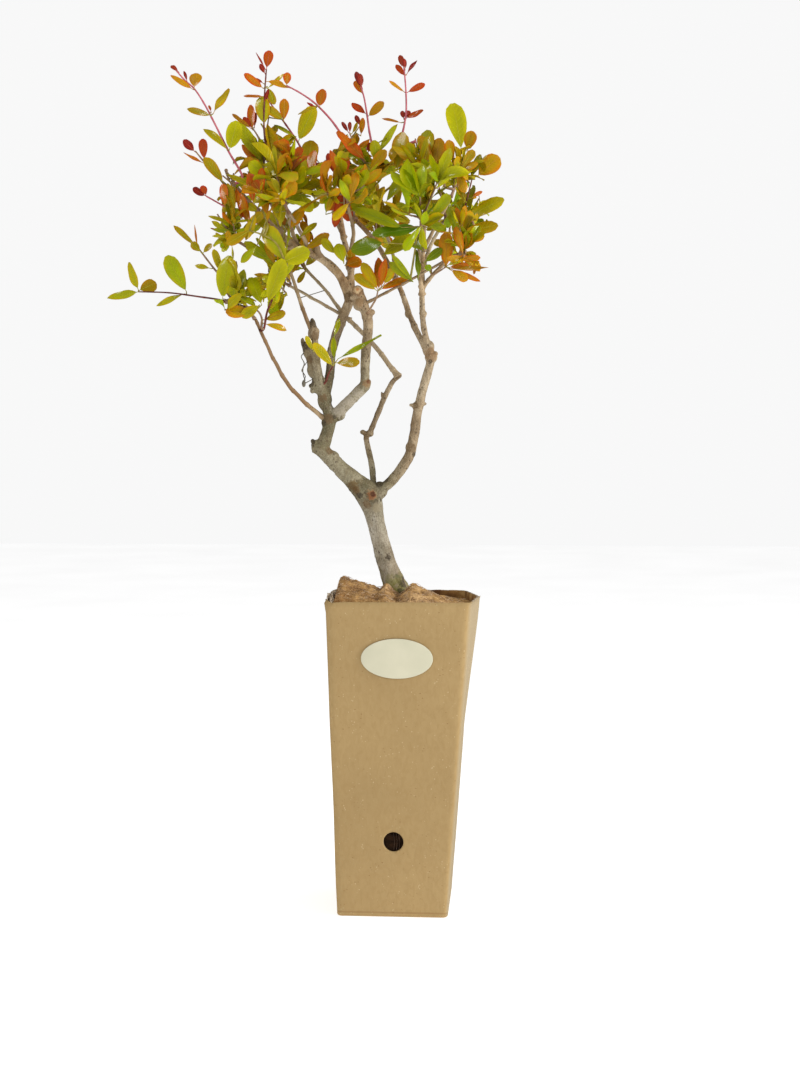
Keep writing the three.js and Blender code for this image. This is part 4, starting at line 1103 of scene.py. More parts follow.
# Old limbs whose bends are sharper than the source's smooth curves.
ANGULAR_LIMBS = {
    "snag": [(-72, -4, 508), (-76, -12, 525), (-79, -16, 544), (-81, -15.5, 571)],
    "elbow_stub": [(-74, -4, 453), (-79, -4.5, 458), (-82, -5, 461)],
    "thin_stem": [(-22, 4, 404), (-24, 9, 436), (-30, 15, 463), (-30, 16, 467), (-26, 16, 472), (-13, 15, 503),
        (-4, 14, 521), (2, 14, 527)],
}

# Swellings of the old wood: where each is, and its half sizes. They are burls, knots and healed cuts.
KNOTS = [
    ((3.5, -3, 318), (6, 6, 14)), ((7, -4, 313), (5, 5, 10)), ((1, -7, 315), (5, 4.5, 10)),
    ((-6, -4, 317), (5, 6, 8)), ((4, 6, 314), (9, 7, 7)), ((-23, -6.5, 409), (4.6, 3.2, 4.6)),
    ((-30, -3, 414), (8.6, 7, 7)), ((-16, 1, 413), (8, 7, 9)), ((-46, -3, 424), (7, 7.4, 7)),
    ((-78, -4, 455), (6.6, 6.4, 6.6)), ((-83, -5, 462), (2.4, 2.4, 2.6)),
    ((-64, -4, 446), (8, 7, 7)), ((-67, -4, 480), (7.6, 7, 8)), ((-57, -5, 488), (7, 6.4, 6)),
    ((-30, -9, 519), (5.4, 5.2, 4.8)), ((-27, -11, 521), (2.6, 2.6, 2.4)),
    ((-36, -8, 598), (6.8, 6, 7)), ((-24, -6, 590), (3.4, 3.4, 3.4)), ((-43, -9, 604), (3, 3, 3)),
    ((-71, -4, 503), (7.6, 6.6, 11)), ((-77, -5, 519), (7.4, 6.4, 11)), ((-82, -5, 533), (7, 6, 9)),
    ((-88, -6, 552), (5, 5, 8)), ((-84, -7, 558), (2.4, 2.4, 5)), ((-93, -6, 561), (2.2, 2.2, 4)),
    ((-83, -8, 512), (2.6, 2.6, 3)), ((-85, -6, 517), (1.8, 1.8, 2.4)),
    ((-46, 5, 606), (6.2, 5.8, 8)), ((-48, 8, 622), (4.8, 4.6, 6)), ((-46, 11, 638), (5.4, 5, 7)),
    ((15, -4, 455), (5.8, 5.2, 7)), ((17.5, -4, 449), (2, 2.6, 3)), ((21, -4, 497), (5.6, 5, 5)),
    ((15, -5, 498), (2.4, 2.4, 2)), ((28, -5, 499), (2.6, 2.2, 1.6)), ((35, -5, 545), (6.6, 5.4, 6)),
    ((32, -4, 553), (6, 5, 8)), ((34, -6, 555), (4.4, 4.4, 7)), ((39, -6, 549), (3, 3, 2.6)),
    ((31, -6, 553), (3.4, 3.4, 4)), ((-33.5, 15, 471), (3.4, 3.2, 2.8)),
    ((-26, 16, 470), (3.6, 3.4, 3.6)), ((2, 14, 528), (3.8, 3.2, 3.2)),
    ((-14.5, 14, 509), (1.1, 1.2, 4)), ((-101, -8, 656), (4, 4, 3)), ((-76, -5, 645), (5, 4.6, 4.6)),
    ((26, -6, 616), (3.8, 3.6, 5)), ((-81.5, -15, 568), (6, 5.6, 9)),
    ((-82, -15.5, 576), (3.6, 3.4, 6)), ((-82.8, -15.5, 579), (2.7, 2.7, 5)),
    ((-77.4, -15, 570), (2.2, 2.2, 3.4)), ((-38, -12, 611), (5.4, 3.6, 5.4)),
    ((27, -7, 588), (3.6, 3.4, 5)), ((12, 4, 590), (3.4, 3.2, 5)), ((-54, 4, 584), (5, 5, 6)),
]


# The web of wood that fills the angle between the trunk and the left bough.
FORK_WEB = [
    (-21, 0, 378), (-25, -0.5, 391), (-31, -1, 403), (-38, -2, 414), (-46, -3, 424), (-56, -3, 434),
]
FORK_WEB_RADIUS = 7.4


def add_ball(heap, centre, half):
    """A round lump, as a grid of rings."""
    rings, sides = 7, 12
    lift = np.linspace(-math.pi / 2, math.pi / 2, rings)
    line = np.column_stack([np.zeros(rings), np.zeros(rings), np.sin(lift)])
    points, walls, caps = tube(line, np.maximum(np.cos(lift), 0.05), sides)
    heap.add(points * np.array(half) + np.array(centre), walls, caps)


def limb_core(limb):
    """The line of an old limb and its lumpy radii. It runs on to a tip, and the trunk into the fill."""
    own_line = Line(spline(ANGULAR_LIMBS[limb.name], 4)) if limb.name in ANGULAR_LIMBS else limb.line
    line = own_line.spaced(2.5)
    radii = limb.radius(np.linspace(0, 1, len(line)))
    radii = radii * (1 + 0.07 * waves(line + [0, 0, 7 * len(limb.name)], 17))
    if limb.name not in CUT_LIMBS:
        ahead = own_line.heading(1) * limb.tip
        line = np.vstack([line, line[-1] + ahead * 0.6, line[-1] + ahead * 0.95])
        radii = np.concatenate([radii, [limb.tip * 0.8, limb.tip * 0.35]])
    if limb.on is None:
        line = np.vstack([line[0] - [0, 0, 6], line])
        radii = np.concatenate([[TRUNK_FOOT], radii])
    return line, radii


def old_wood_core():
    """The old limbs, the fork's web and the knots as overlapping closed forms, ready to be fused."""
    heap = Heap()
    for limb in limbs.values():
        if limb.is_old:
            add_tube(heap, *limb_core(limb), 18)
    web = spline(FORK_WEB, 6)
    add_tube(heap, web, np.full(len(web), FORK_WEB_RADIUS), 18)
    for centre, half in KNOTS:
        add_ball(heap, centre, half)
    return heap


def wood_samples():
    """Points along the old limbs, the direction of each, and its reach along a limb of its own."""
    old = [limb for limb in limbs.values() if limb.is_old]
    lines = [limb.line.spaced(3) for limb in old]
    ways = [unit(np.gradient(line, axis=0)) for line in lines]
    reaches = [np.linspace(0, limb.line.length, len(line)) + 100 * (number + 1)
               for number, (limb, line) in enumerate(zip(old, lines))]
    return np.vstack(lines), np.vstack(ways), np.concatenate(reaches)


def limb_relief(points, samples, ways, reaches):
    """The relief that follows a limb: long shallow ridges, and rings where buds once were."""
    near = np.argmin(((points[:, None] - samples[None]) ** 2).sum(-1), axis=1)
    offset = points - samples[near]
    along = np.einsum("ij,ij->i", offset, ways[near])
    across = offset - along[:, None] * ways[near]
    reach = reaches[near] + along
    ridges = waves(across / 1.5 + ways[near] * (reach / 16)[:, None], 1.0)
    rings = np.exp(-(((reach + 9) % 27 - 13.5) / 1.6) ** 2)
    side = waves(across / 6 + ways[near] * np.round(reach / 27)[:, None], 1.0)
    return 0.12 * ridges - 0.08 * np.abs(ridges) + 0.4 * rings * (side > 0.15)


def bark_relief(points):
    """How far each point of the bark stands out, with soft lumps all over and grooves at the foot."""
    samples, batch = wood_samples(), 4000
    starts = range(0, len(points), batch)
    relief = np.concatenate([limb_relief(points[start:start + batch], *samples) for start in starts])
    foot = smooth_step(345, 318, points[:, 2])
    grooves = np.sin(5 * np.arctan2(points[:, 1], points[:, 0]) + 2 * waves(points, 9))
    return relief + 0.4 * waves(points, 7.5) + 0.16 * waves(points, 2.6) + 0.9 * foot * grooves


def make_old_wood(material):
    """One unbroken skin over the trunk and the old boughs, with the relief of their bark."""
    wood = old_wood_core().piece("bark", [material], scale=1.0)
    fuse = wood.modifiers.new("fuse", "REMESH")
    fuse.mode = "VOXEL"
    fuse.voxel_size = 0.8
    fuse.use_smooth_shade = True
    soften = wood.modifiers.new("soften", "SMOOTH")
    soften.factor = 0.5
    soften.iterations = 5
    apply_modifiers(wood)
    mesh = wood.data
    points = vectors_of(mesh, "co")
    points += vectors_of(mesh, "normal") * bark_relief(points)[:, None]
    points[:, 2] = np.maximum(points[:, 2], GROUND - 5)
    places = turned_flat(points * MM, PLANT_TURN)
    mesh.vertices.foreach_set("co", places.ravel().astype(np.float32))
    mesh.materials.clear()
    mesh.materials.append(material)
    mesh.update()
    dressed(wood, "old_bark", *[limb.name for limb in limbs.values() if limb.is_old])


def make_young_wood(material):
    """The thin limbs: slightly knotty rods that swell where they leave older wood."""
    heap = Heap()
    for limb in limbs.values():
        if limb.is_old:
            continue
        line = limb.line.spaced(1.5)
        shares = np.linspace(0, 1, len(line))
        reach = shares * limb.line.length
        collar = 0.9 * np.exp(-reach / 4)
        nodes = 0.22 * np.exp(-((reach % 19 - 9.5) / 1.3) ** 2)
        lumps = 0.06 * waves(line, 6)
        radii = limb.radius(shares) * (1 + collar + nodes + lumps)
        wobble = np.column_stack([waves(line + k, 13) for k in (0, 40, 80)]) * 0.6
        add_tube(heap, line + wobble * np.minimum(reach, 8)[:, None] / 8, radii, 9)
    young = [limb.name for limb in limbs.values() if not limb.is_old]
    dressed(heap.piece("young_wood", [material], PLANT_TURN), "young_bark", *young)


# Withered threads that hang on the old stub, a dry spine on a shoot at the back, and the scraps at the
# threads' ends with their half sizes.
DRY_THREADS = [
    [(-90, -8, 551), (-94, -9, 546), (-91, -11, 539), (-93, -11, 532), (-90, -10, 526),
     (-92, -10, 521)],
    [(-88, -8, 541), (-92, -10, 535), (-92, -11, 528), (-90, -10, 522)],
    [(-82, -8, 524), (-87, -11, 521), (-91, -10, 519)],
    [(-72, 34, 616), (-84, 32, 612), (-97, 30, 608)],
]
DRY_SCRAPS = [
    ((-91.5, -10, 519), (2, 1.8, 3.6)), ((-93, -11, 532), (0.9, 0.9, 1.6)),
]


def make_dry_threads(material):
    """The withered threads and scraps on the old stub's side."""
    heap = Heap()
    for path in DRY_THREADS:
        line = spline(path, 5)
        add_tube(heap, line, 0.45 * (1 + 0.3 * waves(line, 2)), 6)
    for centre, half in DRY_SCRAPS:
        add_ball(heap, centre, half)
    dressed(heap.piece("dry_threads", [material], PLANT_TURN), "young_bark")


# ---------------------------------------------------------------- the crown as the camera sees it

# Places in this section are (x, z) over the trunk's own plane, as the camera sees them.
SEEN_FROM = np.array([4.0, -1600.0, 453.6])

# The outline of the dense crown, inside the slender shoots that stand out of it.
CROWN_OUTLINE = [
    (-168, 641), (-183, 663), (-187, 688), (-176, 703), (-178, 720), (-168, 733), (-153, 725),
    (-148, 745), (-160, 753), (-168, 765), (-156, 781), (-138, 768), (-130, 790), (-112, 785),
    (-98, 756), (-84, 752), (-74, 742), (-62, 744), (-56, 764), (-40, 770), (-28, 764), (-14, 768),
    (4, 776), (14, 763), (32, 774), (46, 764), (62, 754), (84, 752), (102, 738), (92, 727),
    (74, 723), (74, 704), (98, 704), (104, 680), (94, 662), (80, 650), (94, 636), (82, 620),
    (58, 624), (44, 640), (30, 634), (17, 620), (6, 630), (-4, 626), (-16, 611), (-36, 618),
    (-52, 640), (-72, 652), (-96, 643), (-108, 630), (-110, 600), (-106, 574), (-136, 570),
    (-152, 582), (-170, 590), (-182, 612),
]

# Gaps in the crown that show the sky: the middle of each and its half sizes.
SKY_GAPS = [
    (-137, 636, 17, 9), (-138, 698, 4, 7), (-96, 676, 6, 9), (-87, 662, 5, 7), (-81, 688, 11, 6),
    (-74, 672, 10, 9), (-39, 670, 10, 8), (-44, 655, 5, 7), (-8, 702, 6, 9), (7, 700, 4, 8),
    (22, 718, 4, 5), (52, 712, 6, 7), (60, 700, 7, 4), (26, 669, 6, 6), (11, 645, 6, 9),
    (37, 657, 7, 10), (-25, 648, 12, 4), (-2, 631, 6, 5), (-66, 735, 5, 12), (62, 653, 4, 7),
    (51, 681, 7, 9), (92, 687, 12, 4), (74, 656, 12, 4), (90, 716, 8, 4), (30, 690, 4, 5),
]


def as_seen(x, z, depth):
    """The point at a depth behind the trunk's plane that the camera sees over (x, z) of that plane."""
    target = np.array([x, 0.0, z])
    return SEEN_FROM + (target - SEEN_FROM) * (depth - SEEN_FROM[1]) / -SEEN_FROM[1]


def seen_place(points):
    """Where the camera sees points over the trunk's plane, as columns x and z."""
    share = -SEEN_FROM[1] / (points[:, 1] - SEEN_FROM[1])
    return SEEN_FROM[[0, 2]] + (points[:, [0, 2]] - SEEN_FROM[[0, 2]]) * share[:, None]


def in_outline(points):
    """Whether each point shows inside the dense crown and outside its sky gaps."""
    x, z = seen_place(points).T
    inside = np.zeros(len(points), bool)
    for (ax, az), (bx, bz) in zip(CROWN_OUTLINE, CROWN_OUTLINE[1:] + CROWN_OUTLINE[:1]):
        if az == bz:
            continue
        crosses = ((az > z) != (bz > z)) & (x < ax + (bx - ax) * (z - az) / (bz - az))
        inside ^= crosses
    for gx, gz, wide, high in SKY_GAPS:
        inside &= ((x - gx) / wide) ** 2 + ((z - gz) / high) ** 2 > 1
    return inside


# The sprays that lead at the crown's front and edge. Each has a depth, a stem from its foot to its tip,
# and leaves as (tint, root x, root z, tip x, tip z, width).
LEADING_SPRAYS = {
    "upper_left_leader": (-18, "pink", [
        (-153, 723), (-167, 751), (-183, 783), (-191, 798), (-201, 813), (-210, 821), (-219, 831)], [
        ("R", -216, 829, -224, 837, 5), ("C", -202, 812, -224, 827, 6),
        ("C", -201, 813, -199, 829, 13), ("A", -182, 788, -167, 816, 9),
        ("O", -184, 786, -209, 794, 7), ("Y", -168, 752, -191, 778, 8),
        ("L", -166, 752, -158, 781, 16), ("B", -184, 789, -186, 797, 3),
        ("R", -208, 820, -211, 831, 3)]),
    "left_red_sprig": (-42, "brown", [
        (-166, 712), (-176, 724), (-190, 739), (-200, 751)], [
        ("R", -200, 750, -212, 762, 8), ("B", -191, 742, -193, 765, 9),
        ("C", -190, 738, -212, 749, 3), ("O", -172, 720, -191, 745, 12)]),
    "left_leader": (-50, "pink", [
        (-131, 677), (-156, 688), (-171, 696), (-189, 706)], [
        ("R", -189, 706, -203, 714, 7), ("B", -189, 706, -193, 717, 7),
        ("C", -170, 696, -173, 719, 9), ("O", -161, 678, -187, 687, 4),
        ("N", -161, 670, -185, 675, 5), ("Y", -161, 664, -183, 669, 3)]),
    "top_left_leader": (0, "red", [
        (-126, 698), (-127, 743), (-131, 766), (-131, 803), (-129, 832)], [
        ("B", -129, 832, -126, 851, 10), ("R", -130, 832, -139, 849, 2),
        ("R", -130, 827, -135, 837, 5), ("C", -132, 813, -151, 828, 8),
        ("B", -132, 818, -142, 825, 4), ("O", -128, 813, -110, 829, 4),
        ("C", -129, 820, -110, 818, 6), ("C", -131, 805, -152, 806, 4),
        ("G", -131, 777, -134, 806, 15), ("O", -128, 815, -121, 797, 8),
        ("R", -131, 800, -127, 812, 4), ("O", -112, 782, -131, 795, 10)]),
    "top_left_second": (6, "pink", [
        (-86, 738), (-98, 760), (-111, 779), (-124, 797), (-130, 806)], [
        ("A", -112, 780, -111, 803, 10), ("Y", -97, 761, -81, 797, 16),
        ("Y", -100, 764, -123, 781, 4), ("O", -123, 747, -99, 768, 9), ("O", -88, 737, -84, 762, 18)]),
    "arching_leader": (-22, "pink", [
        (-46, 757), (-51, 763), (-64, 781), (-75, 793), (-84, 801), (-96, 809), (-109, 816)], [
        ("C", -76, 794, -74, 813, 13), ("C", -109, 815, -108, 829, 8), ("R", -79, 794, -89, 799, 3),
        ("O", -80, 795, -98, 788, 3), ("C", -104, 813, -126, 819, 5)]),
    "red_tuft": (10, "brown", [
        (-134, 760), (-139, 768), (-143, 774)], [
        ("C", -143, 772, -146, 798, 9), ("C", -144, 773, -163, 788, 5),
        ("B", -143, 773, -152, 785, 6), ("B", -141, 774, -140, 790, 5),
        ("L", -136, 743, -157, 780, 13), ("Y", -134, 762, -115, 763, 8)]),
    "top_middle_leader": (20, "pink", [
        (-24, 751), (-27, 773), (-29, 788), (-32, 805), (-35, 815)], [
        ("R", -35, 814, -40, 830, 6), ("R", -34, 813, -36, 828, 7), ("C", -33, 807, -41, 821, 8),
        ("B", -29, 787, -44, 799, 9), ("C", -28, 785, -13, 800, 10), ("R", -28, 749, -24, 759, 8),
        ("R", -24, 750, -18, 759, 6)]),
    "middle_tuft": (-25, "brown", [
        (-30, 739), (-38, 752), (-46, 768)], [
        ("C", -30, 741, -59, 771, 12), ("R", -36, 776, -40, 786, 5), ("C", -35, 766, -33, 784, 6),
        ("R", -46, 768, -46, 780, 4), ("R", -47, 769, -54, 780, 4), ("O", -44, 768, -38, 779, 5),
        ("L", -57, 738, -35, 755, 10)]),
    "top_right_leader": (2, "pink", [
        (-2, 755), (5, 764), (7, 771), (10, 788), (10, 808), (9, 823), (8, 833)], [
        ("R", 8, 833, 3, 847, 6), ("R", 9, 831, 9, 843, 5), ("B", 9, 825, 0, 837, 6),
        ("R", 10, 826, 20, 843, 4), ("C", 9, 809, -7, 821, 4), ("B", 11, 809, 29, 818, 7),
        ("B", 9, 783, 28, 791, 6), ("R", 8, 783, 14, 791, 6), ("C", 5, 779, -15, 785, 4),
        ("O", -19, 748, 5, 783, 7), ("R", 8, 782, 6, 791, 5)]),
    "right_top_fan": (-24, "brown", [
        (14, 716), (22, 728), (26, 738)], [
        ("O", 1, 731, 5, 771, 18), ("O", 26, 738, 32, 773, 16), ("G", 40, 738, 43, 765, 14),
        ("A", 56, 740, 52, 762, 11), ("O", 18, 736, 12, 760, 11), ("O", 38, 726, 8, 738, 10)]),
    "lime_leaf_spray": (-28, "brown", [
        (48, 716), (58, 738), (65, 752)], [
        ("L", 65, 752, 58, 801, 20), ("G", 71, 751, 76, 771, 13), ("G", -26, 732, -10, 752, 11),
        ("Y", -18, 738, -22, 762, 11), ("G", 34, 742, 24, 768, 12)]),
    "right_dark_shoot": (-10, "red", [
        (61, 663), (67, 688), (72, 708), (76, 724)], [
        ("Y", 68, 683, 107, 706, 15), ("O", 65, 669, 102, 679, 15), ("C", 75, 704, 87, 713, 4),
        ("G", 81, 726, 103, 746, 19), ("A", 68, 661, 88, 667, 9), ("Y", 58, 643, 80, 649, 9),
        ("O", 74, 724, 84, 748, 9), ("N", 62, 668, 47, 707, 8), ("O", 70, 700, 60, 722, 9)]),
    "lower_right_spray": (-46, "brown", [
        (36, 628), (44, 632), (50, 636)], [
        ("A", 50, 635, 50, 671, 14), ("C", 52, 635, 73, 639, 7), ("A", 54, 634, 93, 635, 5),
        ("C", 54, 634, 84, 621, 5), ("G", 54, 633, 72, 623, 10), ("Y", 51, 637, 70, 647, 7)]),
    "green_fan": (-52, "green", [
        (14, 622), (17, 640), (20, 660), (22, 676)], [
        ("D", 24, 675, -24, 668, 13), ("N", 6, 675, -44, 696, 12), ("L", -13, 647, 17, 671, 19),
        ("D", -12, 660, -46, 654, 17), ("D", 27, 652, 15, 668, 14), ("N", 17, 621, -4, 648, 6),
        ("N", 15, 622, -7, 641, 9), ("D", 22, 623, 23, 656, 6), ("N", -10, 700, 8, 730, 10),
        ("D", 28, 640, 46, 654, 9), ("N", 34, 630, 31, 638, 7), ("L", -22, 688, -45, 700, 9),
        ("O", 34, 675, 26, 733, 11)]),
    "orange_rosette": (-34, "brown", [
        (-28, 590), (-24, 597), (-20, 604), (-18, 612)], [
        ("A", -18, 613, -34, 640, 11), ("O", -19, 612, -41, 629, 11), ("C", -17, 613, -17, 647, 10),
        ("C", -15, 615, -8, 645, 9), ("C", -16, 613, 13, 628, 9), ("G", -12, 618, -4, 634, 10)]),
    "front_straps": (-64, "red", [
        (-132, 574), (-128, 593), (-116, 618), (-109, 636)], [
        ("L", -128, 600, -112, 644, 17), ("Y", -108, 640, -131, 676, 18),
        ("L", -114, 640, -86, 652, 17), ("Y", -128, 600, -118, 634, 9)]),
    "lower_left_cluster": (-36, "brown", [
        (-134, 574), (-134, 585), (-138, 592), (-150, 597)], [
        ("L", -173, 604, -168, 648, 19), ("N", -158, 602, -152, 634, 10),
        ("Y", -174, 630, -181, 653, 8), ("O", -134, 598, -145, 627, 15),
        ("G", -144, 590, -170, 592, 13), ("Y", -136, 598, -154, 586, 11),
        ("A", -132, 583, -110, 590, 10), ("G", -131, 579, -107, 574, 7),
        ("Y", -150, 597, -160, 622, 11)]),
    "far_left_twig": (-20, "red", [
        (-140, 594), (-154, 597), (-176, 603), (-196, 606), (-226, 610), (-257, 611)], [
        ("O", -256, 611, -289, 606, 8), ("Y", -257, 613, -269, 640, 9),
        ("O", -257, 612, -239, 620, 14), ("Y", -209, 611, -229, 647, 17),
        ("Y", -211, 609, -241, 598, 6)]),
    "lower_left_leader": (-24, "brown", [
        (-166, 618), (-178, 630), (-193, 649), (-202, 661)], [
        ("O", -193, 649, -184, 659, 6), ("O", -194, 650, -204, 660, 8),
        ("Y", -184, 634, -201, 638, 5), ("O", -200, 657, -222, 677, 6),
        ("C", -198, 655, -201, 678, 2)]),
    "inner_left_fringe": (-60, "green", [
        (-120, 660), (-134, 668), (-146, 672)], [
        ("O", -146, 672, -169, 658, 11), ("Y", -139, 656, -156, 641, 10),
        ("A", -140, 690, -150, 662, 9), ("A", -128, 686, -134, 716, 10),
        ("C", -142, 698, -146, 726, 9)]),
    "middle_top_leaves": (-30, "green", [
        (-82, 706), (-84, 718), (-85, 728)], [
        ("Y", -85, 728, -98, 744, 10), ("G", -84, 722, -70, 740, 10), ("A", -86, 726, -82, 752, 10),
        ("O", -80, 712, -62, 722, 9), ("C", -88, 716, -104, 728, 9), ("Y", -84, 708, -94, 726, 9)]),
    "middle_leaves": (-44, "green", [
        (-112, 664), (-110, 676), (-107, 684)], [
        ("Y", -114, 677, -118, 704, 14), ("G", -106, 673, -93, 694, 10),
        ("G", -91, 653, -67, 669, 10), ("Y", -96, 665, -78, 682, 6), ("Y", -100, 692, -76, 700, 9),
        ("L", -70, 688, -66, 712, 8)]),
    "inner_sprig": (-20, "red", [
        (-71, 520), (-67, 530), (-63, 537)], [
        ("Y", -63, 537, -82, 560, 10), ("Y", -82, 551, -90, 567, 6), ("O", -61, 540, -37, 542, 11),
        ("N", -58, 544, -14, 568, 5), ("N", -62, 543, -62, 566, 6), ("N", -62, 566, -56, 585, 5)]),
    "middle_left_leaves": (-52, "green", [
        (-128, 676), (-132, 690), (-134, 700)], [
        ("C", -146, 677, -156, 711, 9), ("C", -153, 681, -160, 715, 6),
        ("O", -160, 691, -168, 719, 8), ("Y", -134, 711, -169, 730, 6),
        ("O", -131, 708, -151, 723, 8), ("L", -130, 725, -146, 740, 13),
        ("A", -119, 723, -113, 743, 10), ("N", -114, 713, -110, 745, 11),
        ("Y", -96, 713, -74, 721, 10), ("L", -96, 708, -84, 691, 12), ("N", -108, 698, -96, 706, 10),
        ("Y", -78, 698, -64, 708, 9), ("G", -132, 700, -128, 724, 9), ("Y", -138, 690, -150, 700, 9),
        ("O", -146, 676, -133, 690, 9), ("L", -120, 690, -104, 712, 10),
        ("Y", -122, 668, -138, 686, 9)]),
    "middle_low_leaves": (-36, "green", [
        (-46, 640), (-50, 650), (-52, 656)], [
        ("Y", -52, 639, -58, 659, 12), ("A", -51, 637, -34, 643, 12), ("G", -46, 635, -44, 653, 9),
        ("Y", -60, 648, -74, 664, 9)]),
    "back_twig_leaves": (46, "brown", [
        (-90, 634), (-93, 642), (-97, 650)], [
        ("Y", -97, 650, -112, 668, 9), ("O", -91, 636, -76, 652, 9), ("Y", -92, 640, -108, 648, 7),
        ("G", -95, 648, -88, 672, 9), ("O", -89, 634, -98, 620, 6)]),
    "back_low_leaves": (26, "brown", [
        (-105, 619), (-110, 626), (-116, 632)], [
        ("Y", -116, 632, -132, 648, 10), ("O", -110, 626, -96, 644, 9),
        ("N", -108, 622, -126, 630, 7), ("G", -114, 631, -114, 654, 9)]),
    "red_bunch": (-34, "brown", [
        (-50, 690), (-52, 706), (-53, 722)], [
        ("B", -53, 710, -62, 675, 10), ("B", -51, 708, -47, 681, 11), ("C", -55, 712, -67, 692, 9),
        ("C", -50, 714, -39, 692, 9), ("B", -53, 723, -66, 752, 9), ("B", -51, 725, -49, 746, 7),
        ("A", -50, 725, -28, 736, 9), ("A", -47, 723, -21, 727, 7), ("R", -62, 728, -67, 750, 8),
        ("B", -104, 732, -105, 753, 8), ("A", -104, 700, -126, 730, 9), ("O", -58, 700, -82, 722, 11)]),
}


# ---------------------------------------------------------------- foliage


def shoots_of(mass):
    """The main shoots of a mass: the stem, and one shoot from the stem for each further tip."""
    limb = limbs[mass["on"]]
    leaf = mass.get("leaf", LEAF_LENGTH)
    tips = [np.array(tip, float) for tip in mass["tips"]]
    if "foot" in mass:
        foot = np.array(mass["foot"], float)
        heading = unit(tips[0] - foot)
    else:
        foot, heading = limb.line.at(1), limb.line.heading(1)
    ends = [tip + (foot - tip) * min(leaf / np.linalg.norm(tip - foot), 0.5) for tip in tips]
    stem = shoot_line(foot, heading, ends[0])
    shoots = [(stem, SHOOT_RADIUS if "foot" in mass else limb.tip, tips[0])]
    for i, (end, tip) in enumerate(zip(ends[1:], tips[1:])):
        share = FIRST_FORK + FORKING_SHARE * i / len(ends)
        start = stem.at(share)
        direction = unit(unit(end - start) + FORK_LEAN * stem.heading(share))
        shoots.append((shoot_line(start, direction, end), SHOOT_RADIUS, tip))
    return shoots


def clearance(points):
    """The distance from each point to the nearest limb's surface."""
    a, b = links["a"], links["b"]
    link = b - a
    offset = points[:, None] - a[None]
    share = np.clip((offset * link).sum(-1) / (link ** 2).sum(-1), 0, 1)
    reach = np.linalg.norm(offset - share[..., None] * link, axis=-1)
    return (reach - links["ra"] - share * (links["rb"] - links["ra"])).min(axis=1)


def chain_links():
    """Every limb as short tapering links."""
    parts = dict(a=[], b=[], ra=[], rb=[])
    for limb in limbs.values():
        line = limb.line.spaced(CHAIN_STEP)
        radii = limb.radius(np.linspace(0, 1, len(line)))
        parts["a"].append(line[:-1])
        parts["b"].append(line[1:])
        parts["ra"].append(radii[:-1])
        parts["rb"].append(radii[1:])
    return {key: np.concatenate(value) for key, value in parts.items()}


links = chain_links()
shoots = {name: shoots_of(mass) for name, mass in MASSES.items()}
skeletons = {name: np.vstack([line.spaced(CHAIN_STEP) for line, _, _ in own])
             for name, own in shoots.items()}


def nearest(points, skeleton):
    """How far each point lies from the nearest point of a skeleton."""
    return np.linalg.norm(points[:, None] - skeleton[None], axis=-1).min(axis=1)


def in_crown(points):
    """Whether all points lie inside the crown's own box."""
    return bool(np.all(points >= CROWN_LOW) and np.all(points <= CROWN_HIGH))


def is_free(name, points, extra):
    """Whether points lie in the crown, clear of the limbs and nearest to this mass's own shoots."""
    if not in_crown(points):
        return False
    limit = nearest(points, skeletons[name]) + 2 * (CELL_MARGIN + extra)
    others = np.vstack([skeleton for other, skeleton in skeletons.items() if other != name])
    apart = np.all(nearest(points, others) >= limit)
    return bool(apart and np.all(clearance(points) > LIMB_CLEARANCE + extra))


class Twig:
    """A shoot or side twig: its line, its radius at the foot, how many forks it lies from the stem, the
    way on from its end to its tip, and its leaves, as (share, direction, up, length)."""

    def __init__(self, line, foot, level, last):
        self.line, self.foot, self.level, self.last = line, foot, level, last
        self.leaves = []


